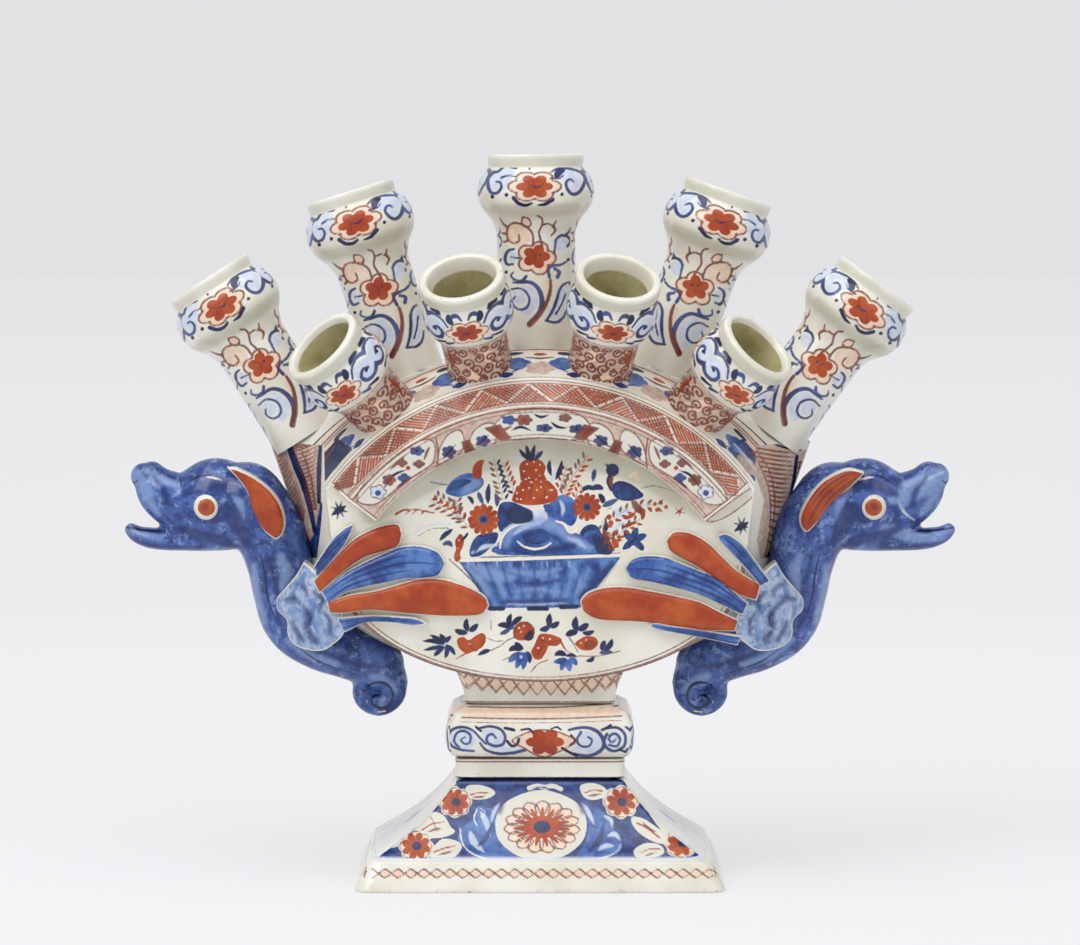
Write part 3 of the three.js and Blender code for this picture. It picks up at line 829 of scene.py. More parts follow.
def foot_drawing():
    """Blue panel of the foot with its medallion, in picture pixels"""
    art = Drawing(FOOT)
    middle = np.array([PANEL_AXIS, 827.0])
    for i in range(15):
        a = 2 * math.pi * (i + 0.3) / 15
        way = np.array([math.cos(a) * 38, math.sin(a) * 26])
        side = np.array([-math.sin(a) * 38, math.cos(a) * 26]) * 0.19
        petal = [middle + way * 0.5 - side * 0.8, middle + way * 0.82 - side, middle + way,
                 middle + way * 0.82 + side, middle + way * 0.5 + side * 0.8]
        art.area("salmon", petal)
        art.stroke("brown", petal, 1.7)
        art.line("red", [middle + way * 0.3, middle + way * 0.72], (6, 2.4))
    art.area("red", lobed(*middle, 15, 10.5, 15, 0.1))
    art.area("dark", lobed(*middle, 8.5, 6.2, 9, 0.08))
    for x, y, r in ((455, 802, 13.5), (416, 846, 14), (621, 802, 14.5), (681, 843, 13.5)):
        art.area("reserve", lobed(x, y, r * 1.2, r * 1.12, 8, 0.1))
        ring = lobed(x, y, r * 1.08, r * 1.0, 8, 0.1)
        art.area("salmon", ring)
        art.stroke("brown", ring, 1.3)
        for i in range(8):
            a = 2 * math.pi * i / 8 + 0.3
            way = np.array([math.cos(a), math.sin(a) * 0.94]) * r
            art.line("red", [way * 0.3 + (x, y), way * 0.76 + (x, y)], (5, 7.2))
            art.line("brown", [way * 0.35 + (x, y), way * 0.8 + (x, y)], (1.3, 0.9))
        art.area("dark", lobed(x + 1, y, r * 0.34, r * 0.3, 6, 0.1))
    return art


class VASE_OT_foot(bpy.types.Operator):
    """Foot, stem block, knop and neck, each a moulded block"""

    bl_idname = "vase.foot"
    bl_label = "Foot and Stem"

    def execute(self, context):
        plinth = [(0.0, 65.2, 49.0), (0.5, 65.7, 49.5), (2.0, 65.1, 48.9), (10.2, 61.0, 44.8),
                  (10.5, 60.8, 44.6), (11.0, 59.4, 43.2), (12.0, 58.9, 42.7)]
        inner = [(34.0, 25.5, 17.5), (24.0, 31.0, 22.0), (12.0, 52.0, 36.0), (0.4, 58.0, 42.0),
                 (0.0, 58.6, 42.6)]
        steps = between(inner, 6) + between(plinth, 2.4) + flare_rings(13)[1:]
        foot = block("foot", 65.7, 49.5, 5, steps + [(36.9, 27.0, 19.0)], 40)
        up = points_of(foot)[:, 2] / MM
        end = Drawing(FOOT_END_HALF).both_sides(PANEL_AXIS)
        paint_round(foot, foot_drawing(), up > 11.5, 1.37, end)
        paint_round(foot, plinth_drawing(), (up > 3) & (up < 11.2), 1.34)
        line_round(foot, UP, 11.6, 0.7, "wash")
        add_layer(foot, "wear", np.clip(1.2 - up / 1.6, 0, 1))
        finish_piece(foot, "foot")

        steps = [(37.2, 27.0, 19.0)] + between(
            [(37.2, 30.7, 22.4), (38.2, 30.4, 22.1), (43.2, 30.3, 22.0), (44.4, 30.8, 22.5)], 1.2
        ) + [(44.4, 27.0, 19.0)]
        stem = block("stem_block", 30.7, 22.4, 3.4, steps, 26)
        line_round(stem, UP, 37.3, 0.9, "dark")
        line_round(stem, UP, 43.2, 0.5, "brown")
        finish_piece(stem, "stem_block")

        swell = [(0.0, 0.2), (0.08, 0.62), (0.2, 0.86), (0.42, 1.0), (0.66, 0.86), (0.87, 0.42)]
        steps = [(44.7, 27.0, 19.0)] + between(
            [(44.7 + a * 18.6, 30.3 + s * 3.6, 22 + s * 3.6) for a, s in swell]
            + [(63.3, 27.4, 18.9)], 1.7
        ) + [(63.3, 24.0, 16.0)]
        knop = block("knop", 33.9, 25.6, 4, steps, 28)
        paint_round(knop, Drawing(KNOP), True, 1.33)
        finish_piece(knop, "knop")

        steps = [(63.6, 24.0, 16.0)] + between(
            [(63.6, 27.2, 18.7), (66.4, 27.0, 18.5), (70.6, 28.2, 18.5), (77.5, 31.2, 20.6)], 1.4
        )
        neck = block("neck", 27.2, 18.7, 3.4, steps, 26)
        line_round(neck, UP, 64.3, 0.5, "brown")
        paint_round(neck, neck_drawing(), points_of(neck)[:, 2] > 66 * MM, 1.48)
        finish_piece(neck, "neck")
        return {"FINISHED"}


KNOP = """
brown 1.5 466,706.5 510,707.5 560,707 620,703
salmon flat 462,708.5 620,706 620,716 540,718 462,716.5
brown 1.5 462,717.5 510,718.7 560,718.6 622,716
red 0.8 462,722 510,723 560,722.6 622,720.4
brown 1.8 455,756.5 500,757.6 560,757.8 625,758
brown 1 455,760.6 500,761.4 560,761.4 625,760.6
salmon 2.6 458,759 540,760 624,759.4
salmon halo1.6 512,741 524,734 533,731 545,730 558,732 568,736 578,741 568,747 556,753
 545,757 534,754 524,748
red bloom0 545,742 17,12 6,0.22
dark 2.2 521,730 529,729 533,733
dark 1.9 551,729 557,727 561,730
wash round 453,731 463,728 473,732 475,742 468,749 456,748 450,740
blue 2.4,3,2.2 474,751 462,750 452,746 448,738 452,730 462,727 472,730 480,738 486,744
blue 2.2,2.8,1.8 459,747 454,741 457,733 464,731 470,735 470,742 465,744 461,740 465,737
wash round 482,731 493,729 503,734 502,744 512,748 526,748 524,752 500,752 486,744
blue 2.7,3.2,2.4 480,728 490,726.5 500,729 505,736 503,744 495,746 488,743 487,737 492,734 496,738
blue 2.4,3.5 480,743 486,750 498,753.5 512,753 525,750
dark 2.7 476,727 481,731
dark 3.2 505,728 514,730
dark 3 507,741 512,746 517,744 519,739
wash round 578,732 590,731 600,738 602,748 588,753 572,750 578,742
blue 2.7,4.1,3.2 569,730 578,728 589,728 599,733 604,743 600,751 588,756 574,754
blue 2.7,2.2 581,732 577,740 581,746 589,746 592,740 588,737
dark 3 562,748 569,752 577,756
dark 2.4 571,735 575,741 570,745
wash round 606,733 615,730 622,737 621,746 612,750 605,744
blue 3,3.2 602,730 608,728 618,728 625,735 624,746 615,751 607,748 604,741 607,734
blue 2.2,2.8,1.8 609,745 617,746 620,739 616,734 611,735 609,740 613,742 616,739
dark 2.4 606,728 611,725
blue 2.7,3.5 626,727 632,732 635,739 633,747 627,750
dark 2.4 620,750 626,752
"""
NECK = """
brown 2.6 452,669 480,676 510,678 560,678 600,674 628,664
brown 1 462,672 480,672.6 498,675
"""


def neck_drawing():
    """Crossing zigzags below the body, in picture pixels"""
    art = Drawing(NECK)
    pitch = 13.7
    for i in range(-1, 27):
        x = 455 + i * pitch / 2
        sag = 1 - ((x - PANEL_AXIS) / 86) ** 2
        low, high = 671 + 7 * sag, 684.5 + 11 * sag
        mid, half = (low + high) / 2, (high - low) / 2
        art.area("salmon", [(x, mid - half * 0.9), (x + 5.2, mid), (x, mid + half * 0.9),
                            (x - 5.2, mid)])
        for sign in (1, -1) if i % 2 else ():
            left, right, rise = x - pitch / 2, x + pitch / 2, sign * half
            art.line("brown", [(left, mid + rise), (right, mid - rise)], 1.15)
            art.line("brown", [(x - pitch, mid), (left, mid + rise)], 1)
            art.line("brown", [(right, mid + rise), (x + pitch, mid)], 1)
    return art


def plinth_drawing():
    """Twisted lattice round the plinth, in picture pixels"""
    art = Drawing()
    count, x0, x1 = 27, 372, 722
    for i in range(count):
        a, b = x0 + (x1 - x0) * i / count, x0 + (x1 - x0) * (i + 1) / count
        m = (a + b) / 2
        art.stroke("brown", [(a, 869), (a + 2, 870), (m, 873.5), (b - 2, 877), (b, 878)], 1.7)
        art.stroke("brown", [(a, 878), (a + 2, 877), (m, 873.5), (b - 2, 870), (b, 869)], 1.5)
        art.area("salmon", [(m, 873.5), (b - 2, 869.8), (b + 2, 869.8), (b + 6.5, 873.5),
                            (b + 2, 877), (b - 2, 877)])
    return art


# Fan body


def section(q, arc_z, arc_radius, side_x, belt_x, power):
    """Points of one outline of the body: q runs from 0 to 1 over the arc from left to
    right, to 2 down the right side, to 3 under the belt and to 4 up the left side"""
    half = math.asin(side_x / arc_radius)
    corner = np.array([side_x, arc_z + math.cos(half) * arc_radius])
    belt = np.array([belt_x, BELT_Z])
    turn = -half + 2 * half * q
    arc = np.column_stack([np.sin(turn) * arc_radius, arc_z + np.cos(turn) * arc_radius])
    down = corner + (q - 1)[:, None] * (belt - corner)
    under = math.pi * np.clip(q - 2, 0, 1)
    across = np.cos(under)
    bowl = np.column_stack([
        np.sign(across) * np.abs(across) ** (2 / power) * belt_x,
        BELT_Z - np.abs(np.sin(under)) ** (2 / power) * (BELT_Z - BODY_BOTTOM),
    ])
    up = (belt + (q - 3)[:, None] * (corner - belt)) * (-1, 1)
    pick = [(q < 1)[:, None], (q < 2)[:, None], (q < 3)[:, None]]
    return np.select(pick, [arc, down, bowl], up)


def skin(q, y):
    """Points of the body's outer skin at outline places q and depths y"""
    stations = [(FRONT_Y, DISC), (LEDGE_Y, LEDGE), (CREST_Y, FAN), (BACK_Y, FAN)]
    rings = [section(q, *form) for _, form in stations]
    depths = [depth for depth, _ in stations]
    station = np.interp(y, depths, range(4))
    step = np.clip(np.floor(station), 0, 2).astype(int)
    share = (station - step)[:, None]
    stack = np.stack(rings)
    index = np.arange(len(q))
    return stack[step, index] * (1 - share) + stack[step + 1, index] * share


def strip(name, q0, q1, y0, y1, columns, rows):
    """A piece of the body's skin between two outline places and two depths"""
    r = sizes().edge_round / MM
    table_y, table_inset = [], []
    if y0 <= FRONT_Y:
        for a in np.linspace(0, math.pi / 2, 6):
            table_y.append(FRONT_Y + r * (1 - math.cos(a)))
            table_inset.append(r * (1 - math.sin(a)))
    else:
        table_y.append(y0)
        table_inset.append(0)
    if y1 >= BACK_Y:
        for a in np.linspace(math.pi / 2, 0, 6):
            table_y.append(BACK_Y - r * (1 - math.cos(a)))
            table_inset.append(r * (1 - math.sin(a)))
    else:
        table_y.append(y1)
        table_inset.append(0)
    along = np.concatenate([[0], np.cumsum(np.hypot(np.diff(table_y), np.diff(table_inset)))])
    along /= along[-1]

    def shape(s, t):
        q = q0 + (q1 - q0) * s
        y = np.interp(t, along, table_y)
        inset = np.interp(t, along, table_inset)
        step = 1e-3
        here = skin(q, y)
        ahead = skin(np.clip(q + step, q0, q1), y) - skin(np.clip(q - step, q0, q1), y)
        ahead /= np.maximum(np.hypot(*ahead.T), 1e-9)[:, None]
        outward = np.column_stack([-ahead[:, 1], ahead[:, 0]])
        here = here - outward * inset[:, None]
        return np.column_stack([here[:, 0], y, here[:, 1]])

    obj = sheet_of_quads(name, columns, rows, shape)
    return face_away(obj, (0, 0, 0.12))


def reach_of(ring, middle):
    """Angles and distances of an outline seen from a point in it, sorted by angle"""
    x, y = (ring - middle).T
    angle = np.arctan2(y, x)
    order = np.argsort(angle)
    return angle[order], np.hypot(x, y)[order]


def rounded(s, t):
    """Angle and distance from the middle, for a place on a square that is drawn in to a disc"""
    u, v = s * np.sqrt(1 - t * t / 2), t * np.sqrt(1 - s * s / 2)
    return np.arctan2(v, u), np.hypot(u, v)


def panel(name, form, y, step, side):
    """A flat face of the body: a square grid carried into the outline"""
    ring = section(np.linspace(0, 4, 2400, endpoint=False), *form)
    angle, reach = reach_of(ring, (0, PANEL_MIDDLE))
    reach = reach - sizes().edge_round / MM
    columns = round(2 * form[2] * MM / step)
    rows = round(form[1] * 1.15 * MM / step)

    def shape(s, t):
        turn, share = rounded((2 * s - 1) * side, 2 * t - 1)
        far = share * np.interp(turn, angle, reach, period=2 * math.pi)
        up = PANEL_MIDDLE + np.sin(turn) * far
        return np.column_stack([np.cos(turn) * far, np.full(len(s), y), up])

    return sheet_of_quads(name, columns, rows, shape)


BASKET = """
ground flat 459,561.5 540,559.5 621,557 606,576 592,594 583,607.5 488,608 480,592 470,577
ground round 466,565 500,563 512,572 508,592 498,603 488,600 480,586
haze 5,9,6 466,567 478,578 488,594
haze 4,7,4 490,567 498,580 504,594
haze 3,7,3 508,570 534,574 560,569
haze 2,5,3 512,592 534,589 560,592
haze 2,5,2 572,566 580,582 574,596
dusk 4,8,5 588,563 598,572 588,592
dusk 3,5,3 516,582 538,584 560,580
dusk 3,5,3 500,602 530,601 568,600
light 3,3.6,2.4 461,560.5 500,559.4 545,558 621,555
blue 1.4 480,557.4 540,556 620,552.8
wash 1.6 508,604 535,604.6 562,603
dark 4.6 490,608.5 503,608.5
dark 4.6 529,608.5 547,608.5
dark 4.6 561,607 577,606.5
dark 1.4 449,559 462,571 476,585 488,600
dark 1.1 459,562 470,574 482,589
deep round 500,504 512,502 524,507 533,512 534,524 520,528 508,531 500,531 497,520
dark round 508,508 522,508 532,513 531,521 518,524 508,520
ground round 546,508 556,497 566,495 575,501 578,514 572,526 562,522 552,520 544,514
deep round 543,505 556,505 561,513 550,514
wash leaf4 560,500 563,508 562,516
wash round 533,512 540,510 547,513 546,521 536,523
ground round 498,554 500,541 507,531 518,525 530,520 545,519 560,522 570,530 582,536 592,545
 602,554
haze 4,9,9,4 506,546 512,532 530,524 552,525
wash 2,6,3 514,534 526,526 540,523
haze 5,10,6 560,532 574,540 590,548
wash 2,6,2 568,538 578,542 586,548
dusk 3,5,3 540,532 556,538 564,546
deep round 502,550 512,546 526,549 544,552 562,548 576,552 578,555 502,555
light 1.4,2.4,1.6 500,549 501,540 507,531 515,526 527,522
light 2,3.4,2 556,521 564,524 569,531 574,532 578,527
blue round 522,537 529,531 540,529 549,533 550,539 541,544 530,543
ground round 531,537 537,533 544,534 545,538 538,541
light 1.6,2.8,1.6 517,541 524,546.5 535,549 545,547 551,543
dark 1.4 521,535 526,541.5 536,543.5 547,541
dark 1.3 504,551 518,552 536,554
deep round 470,556 471,545 477,536 487,533 498,533 496,542 489,549 480,556
blue leaf4 474,553 480,544 492,536
deep round 580,533 584,527 592,524 599,528 602,538 598,546 586,545 579,540
ground leaf5 583,538 590,533 597,534
dark round 598,537 606,535 612,545 611,554 600,554 595,547
brown leaf5 603,529 607,537 610,546
red round 519,467 523,461 531,458 540,460 546,467 544,475 549,481 557,490 557,499 549,503
 538,505 527,505 517,503 512,500 515,491 520,484 520,475
brown 1.3 522,475 530,480 536,478 545,476
brown 1.2,1.7,1 533,482 531,492 528,501
brown 1.2,1.7,1 541,482 545,492 543,502
light dots2 521,481 526,479 531,482 536,479 541,482 547,480 552,490 547,497 517,493 521,499
 527,464 534,462 540,465 529,488 537,490 534,498
dark leaf4.6 532,461 524,455 519,449
dark leaf4.6 532,460 528,452 526,445
dark leaf4.6 533,460 533,452 535,445
dark leaf4.6 535,460 539,455 543,451
wash leaf4 527,463 521,459 516,457
blue leaf3 528,458 524,452
blue leaf3 534,457 538,451
dark leaf4.8 551,475 549,467 550,460
wash leaf5 551,481 555,473 558,465
dark leaf5.2 556,479 560,470 562,461
blue leaf5 593,481 594,474 595,469
dark leaf5 593,478 594,473
dark leaf6 590,489 598,487 603,489
dark leaf5 592,486 586,488 583,490
wash leaf4 592,486 597,480
dark leaf5.4 488,503 488,493 489,484
blue leaf5 483,504 480,497 478,492
dark leaf3 483,503 481,496
blue leaf5 497,506 497,499 495,493
dark leaf4 473,504 471,499 467,496
blue leaf6 603,506 610,503 618,499
dark leaf6 603,503 602,498 599,494
dark leaf4 607,510 613,506
dark leaf5 440,540 446,534 453,529
dark leaf4 444,536 451,534
blue leaf5 443,544 449,543 452,547
dark leaf3 443,545 448,546
red round 460,534 464,538 463,546 460,553 461,559 456,562 454,556 456,549 455,541
dark leaf3 461,541 466,536 468,532
light dots1.6 459,540 458,548 458,556
red dots5.5 609,517 611,523 615,533 614,541 612,549
red dots4 617,520 605,526 619,537 617,546
light dots1.5 611,519 614,530 616,539 613,546
dark leaf5 604,533 606,527 606,521
brown leaf7 632,501 637,507 641,514
dark leaf3 634,504 640,511
red leaf5 640,506 643,514 642,520
red dots4 655,504 661,503 666,507 650,509 657,510
wash round 613,512 620,507 628,509 630,516 622,519
wash leaf5 612,531 618,525 626,522
red leaf4 622,528 630,524 637,522
red leaf4 624,519 631,516 636,512
deep leaf7 633,541 628,545 623,549
deep leaf7 633,541 627,535 626,530
deep leaf7 633,540 635,533 637,528
deep leaf7 634,541 641,537 646,535
deep leaf7 634,542 640,546 643,550
deep dots9 633,541
dark leaf2.5 629,545 634,540 640,537
red 2.8,1.6,2 396,514 404,510 416,509.5 434,513
red 1.8,0.7 409,511 405,515
red 1.8,0.7 416,510 412,515
red 1.8,0.7 424,511 420,516
wash 1.6 414,533 430,525 452,524
dark 0.8 418,536 432,529 448,528
ground round 446,493 449,484 457,477 468,473 480,476 484,482 480,489 470,494 458,497
haze round 466,480 476,478 482,483 474,490 462,493
blue round 448,490 452,482 462,479 472,481 462,487 452,491
dark 1.3 449,485 440,484 431,482
dark 1.1 457,496 460,499
red round 473,477 473,467 478,461 484,460 482,468 481,478
red leaf5 476,474 478,467 482,462
deep round 611,487 619,481 631,484 643,494 641,498 628,501 616,498
blue round 616,486 626,485 636,492 634,498 622,497
dark 1.8 618,482 630,485 642,494
dark dots13 612.5,470
dark 4,0.8 610,467 604,463.5
dark 4.5,6.5 611,474 609,481 612,488
brown leaf4 613,474 611,482 612,488
dark 1.3,0.8 642,488 655,486 673,491
salmon dots5 631,476 635,474 637,479
red 1.8,0.8 680,511 675,508
red 1.8,0.8 680,511 684,506
red 1.8,0.8 680,511 685,513
red 1.8,0.8 680,511 679,517
red 1.8,0.8 680,511 675,514
"""
SPRAY = """
haze 8,14,8 472,564 490,574 512,578
haze 7,12,7 512,530 540,522 566,530
wash 2,4,2 500,545 505,531 518,522
wash 2,5,2 472,553 484,547 497,545
dusk 5,9,6 516,548 545,550 574,546
dusk 5,9,6 580,598 600,578 612,564
light dots1.8 524,471 540,476 533,483 523,490 546,498 517,499 536,470 550,490 529,478 541,487
wash dots9 444,643
dark leaf5 444,644 434,641 423,641
dark leaf5 444,643 438,639 430,635
dark leaf5 445,642 443,638 440,634
dark leaf4.6 446,642 448,639 451,636
dark leaf4.6 443,646 434,648 424,650
dark leaf5 444,647 438,652 434,656
dark leaf5 446,646 447,652 445,658
dark leaf5 447,645 452,650 455,655
blue dots4 440,641 447,647 441,648
dark leaf6 467,633 460,632 455,630
dark leaf6 468,631 466,625 467,619
dark leaf6 470,631 474,628 478,624
red round 469,640 463,637 457,640 459,648 465,653 472,652 478,650 484,645 486,637 482,633 475,636
brown 1.4 470,641 471,647 476,651
light dots2.2 468,639 470,644
red 2,1 470,652 463,655 456,659
dark leaf5 490,650 484,652 478,655
brown 1.2 490,651 500,646 508,640 516,637
brown 1 487,638 495,641 503,641
brown 1 491,621 491,630
dark leaf6 510,627 504,625 498,625
dark leaf6 510,626 509,620 511,614
dark leaf6 512,625 517,620 522,617
blue leaf5 510,629 505,632 500,634
ground dots6 511,627
red round 514,637 514,629 519,623 527,622 533,627 534,634 528,639 519,640
brown 1.2 514,637 514,629 519,623 527,622 533,627 534,634 528,639 519,640 514,637
light dots2 519,628 524,626 521,632
dark round 526,634 532,630 534,637 529,641 524,639
red round 536,641 540,634 548,634 556,636 562,640 557,646 549,646 546,652 541,659 535,659
 531,652 534,646
brown 1.5 541,640 548,643 556,641
brown 1.5 544,645 540,651 537,657
light dots2 543,638 550,639 538,648
dark leaf6 549,627 545,629 540,630
dark leaf6.4 550,627 549,620 550,614
dark leaf6 551,627 555,625 559,622
red 2,1 561,642 566,650 573,654
dark leaf6 521,650 514,648 509,651
dark leaf5 523,649 518,645 515,643
ground leaf7 521,653 514,657 509,662
ground leaf7 523,653 519,661 516,668
ground leaf7 525,653 524,661 523,669
deep leaf6 527,652 529,657 530,663
wash dots3 521,657
brown 1.2 503,660 510,657 517,653
brown 1.2 531,672 538,664 548,660
dark leaf6 566,655 560,653 555,655
ground leaf6 566,659 560,661 554,662
ground leaf6.4 567,660 563,665 561,670
ground leaf6.4 569,660 569,666 570,671
ground leaf6 570,658 574,661 577,665
dark leaf4 566,656 572,655 577,657
dark leaf7 577,632 571,633 566,635
dark leaf7 577,630 575,624 576,617
dark leaf7 579,630 584,627 588,624
dark leaf5 583,633 589,633 594,631
red round 575,644 580,639 588,636 596,638 598,644 592,650 582,650
brown round 584,644 590,640 597,643 592,649 585,649
light dots1.8 581,643 586,640
brown 1.3 568,636 573,643 578,652
dark leaf6 602,650 603,645 605,641
dark leaf6 605,650 610,645 612,639
blue leaf5 600,653 606,652 613,652
dark leaf4.6 594,657 591,660 586,661
brown 1.1 578,656 598,656 620,651
"""


# Painted shade on the front panel under the arched moulding, and a white leaf outlined in brown
# where the moulding's right end shows
SHADE = """
pool 30,44,50,44,30 374,508 446,462 542,440 638,462 706,508
reserve halo1.3 707,521 725,506 748,490 760,484 758,491 742,506 722,519
"""


# Stems with leaves: places, pairs of leaves, their size, and their layers
SPRIGS = (
    ([(504, 501), (499, 482), (494, 459)], 7, 6.5, "dark brown"),
    ([(516, 495), (508, 478), (503, 463)], 6, 6, "red dark"),
    ([(563, 496), (572, 478), (590, 453)], 8, 6.5, "red brown"),
    ([(559, 491), (563, 478), (567, 466)], 4, 5.5, "brown red"),
    ([(575, 500), (578, 492), (582, 485)], 3, 5, "red red"),
    ([(470, 527), (453, 512), (430, 500)], 7, 7, "red brown"),
    ([(462, 512), (448, 503), (435, 495)], 5, 6, "brown red"),
    ([(465, 522), (458, 510), (456, 498)], 4, 6, "brown brown"),
    ([(603, 527), (622, 513), (640, 506), (664, 506)], 8, 6.5, "red brown"),
    ([(608, 548), (622, 532), (640, 519)], 6, 6, "red brown"),
    ([(602, 521), (606, 536), (614, 548)], 4, 6, "brown red"),
)


def basket_drawing():
    """Basket of flowers with two birds, and the spray below it, in picture pixels"""
    art = Drawing(BASKET + SPRAY.strip())
    for i, x in enumerate((468, 476, 486, 497, 506, 514, 523, 531, 539, 547, 554, 561, 569, 578)):
        art.line("dark" if i % 3 else "wash", [(x, 562), (x + 0.6, 567)], (1.3, 0.7))
    for i, x in enumerate(range(478, 606, 8)):
        foot = 540 + (x - 540) * 0.72
        art.stroke("dusk" if i % 2 else "haze", [(x, 564), ((x + foot) / 2, 584), (foot, 605)],
                   (1.6, 1.3, 1.2))
    rosette(art, 483.5, 519.5, 15)
    rosette(art, 587, 507, 13.5)
    for points, pairs, size, layers in SPRIGS:
        sprig(art, points, pairs, size, layers.split())
    for x, y in ((339, 510), (742, 526)):
        art.draw(f"dark leaf5 {x - 7},{y + 5} {x},{y} {x + 7},{y - 4}")
        for dx, dy in ((-8, -3), (-4, -9), (9, 2), (5, 7), (-2, 9), (3, -9)):
            art.line("dark", [(x, y), (x + dx, y + dy)], (3, 1))
    return art


def along(run, share):
    """A place at a share of the way along a run of points"""
    run = np.asarray(run, float)
    at = share * (len(run) - 1)
    return np.array([np.interp(at, range(len(run)), run[:, k]) for k in (0, 1)])


def rungs(art, layer, first, second, count, slant, width):
    """Strokes that cross from one line to another"""
    for k in range(count):
        a, b = along(first, k / count), along(second, min((k + slant) / count, 1))
        art.stroke(layer, [a, (a + b) / 2 + (0, 0.8), b], (width, width * 1.2, width * 0.5))


SIDES = {
    "left_side": ("""
blush flat 262,444 322,438 322,470 320,505 315,532 306,548 296,522 284,492
salmon round 298,445 312,443 313,456 300,459
salmon leaf8 274,450 286,478 296,505
dark 6,8,6,4 287,440 295,462 304,485 310,508 315,532
brown 1.5 300,446 311,478 316,510
dark 3,5,4 321,438 319,470 319,502
deep 9 318,505 316,530 312,560
dark 5 296,516 306,538 313,560
dark 4 282,488 292,510 300,524
dark 2.4 268,446 280,478 290,500
""", (((270, 448), (284, 490), (302, 534)), ((283, 443), (297, 480), (308, 520)), 20, -1.5),
        (((291, 444), (303, 478), (312, 515)), ((318, 442), (317, 480), (317, 518)), 18, -2)),
    "right_side": ("""
blush flat 741,434 815,452 808,490 788,540 762,568 757,540 764,500
brown 1.3 746,440 760,466 769,492 770,530 763,566
brown 1.3 756,450 770,472 775,500 772,532
dark 3.5,4.5,3 797,456 791,496 778,536 763,566
brown 1.4 800,462 795,500 781,540 768,562
dark dots4 806,474 801,488 799,502 793,516 788,528 781,540
dark 2.4 745,430 780,446 800,450
deep 7 786,540 776,556 766,572
""", (((752, 447), (767, 476), (771, 505), (767, 548)),
         ((797, 452), (792, 478), (786, 505), (774, 548)), 18, 0.3),
        (((798, 462), (791, 508), (778, 548)), ((810, 460), (801, 506), (786, 546)), 16, -0.4)),
}


def side_drawing(name):
    """Combed fields beside dark leaves, in picture pixels"""
    table, *fields = SIDES[name]
    art = Drawing(table)
    for first, second, count, slant in fields:
        rungs(art, "brown", first, second, count, slant, 1.9)
    return art


def shoulder_drawing():
    """Blue patches in pairs under a line, in millimetres along the arc and from the front"""
    art = Drawing()
    for middle in (-85.5, -42.5, 0, 42.5, 85.5):
        for side in (-1, 1):
            x = middle + side * 8
            art.area("ground", lobed(x, 9.5, 4.6, 3.4, 4, 0.14))
            art.area("deep", lobed(x - side, 10.5, 2.6, 1.9, 4, 0.14))
            art.area("deep", lobed(middle + side * 12.5, 3.6, 2.6, 1.5, 4, 0.14))
            art.area("dark", lobed(middle + side * 9, 15.6, 3.2, 1, 3, 0.1))
            art.line("blue", [(x, 6.4), (x + side * 2.4, 4.6)], (1.2, 0.6))
        art.area("blush", lobed(middle, 6.5, 5.2, 3.6, 5, 0.16))
        art.stroke("brown", [(middle - 5, 13), (middle, 12.2), (middle + 5, 13)], (0.6, 1.2, 0.6))
        art.area("red", lobed(middle, 14.6, 2.4, 0.8, 3, 0.1))
    for x in (-64, -21.3, 21.3, 64):
        art.area("wash", lobed(x, 8, 5, 4, 5, 0.16))
        art.stroke("blue", [(x - 4, 6), (x, 4), (x + 4, 6)], (0.8, 1.4, 0.8))
    # Navy fields at the two ends of the shoulder; the left one is nearly black, cobalt darkened
    # with painted shade
    for side in (-1, 1):
        run = [(side * 76, 3.5), (side * 78, 15), (side * 99, 14.6), (side * 99, 3)]
        art.area("deep" if side > 0 else "dark", run)
        art.stroke("wash", [(side * 77, 9), (side * 88, 8.4), (side * 99, 8)], 1)
    art.line("brown", [(-99, 1.2), (99, 1.2)], 0.45)
    art.line("salmon", [(-99, 16.4), (99, 16.4)], 1.2)
    art.line("brown", [(-99, 17.5), (99, 17.5)], 0.7)
    return art


# Radius of the arc along which the foot of the crest is painted
CREST_ARC = 106.0


def round_arc(obj, radius, start):
    """Where each point lies along an arc round the disc's centre and back from a depth, in
    millimetres"""
    co = points_of(obj)
    turn = np.arctan2(co[:, 0], co[:, 2] - DISC_CENTRE * MM)
    return np.column_stack([turn * radius, co[:, 1] / MM - start])


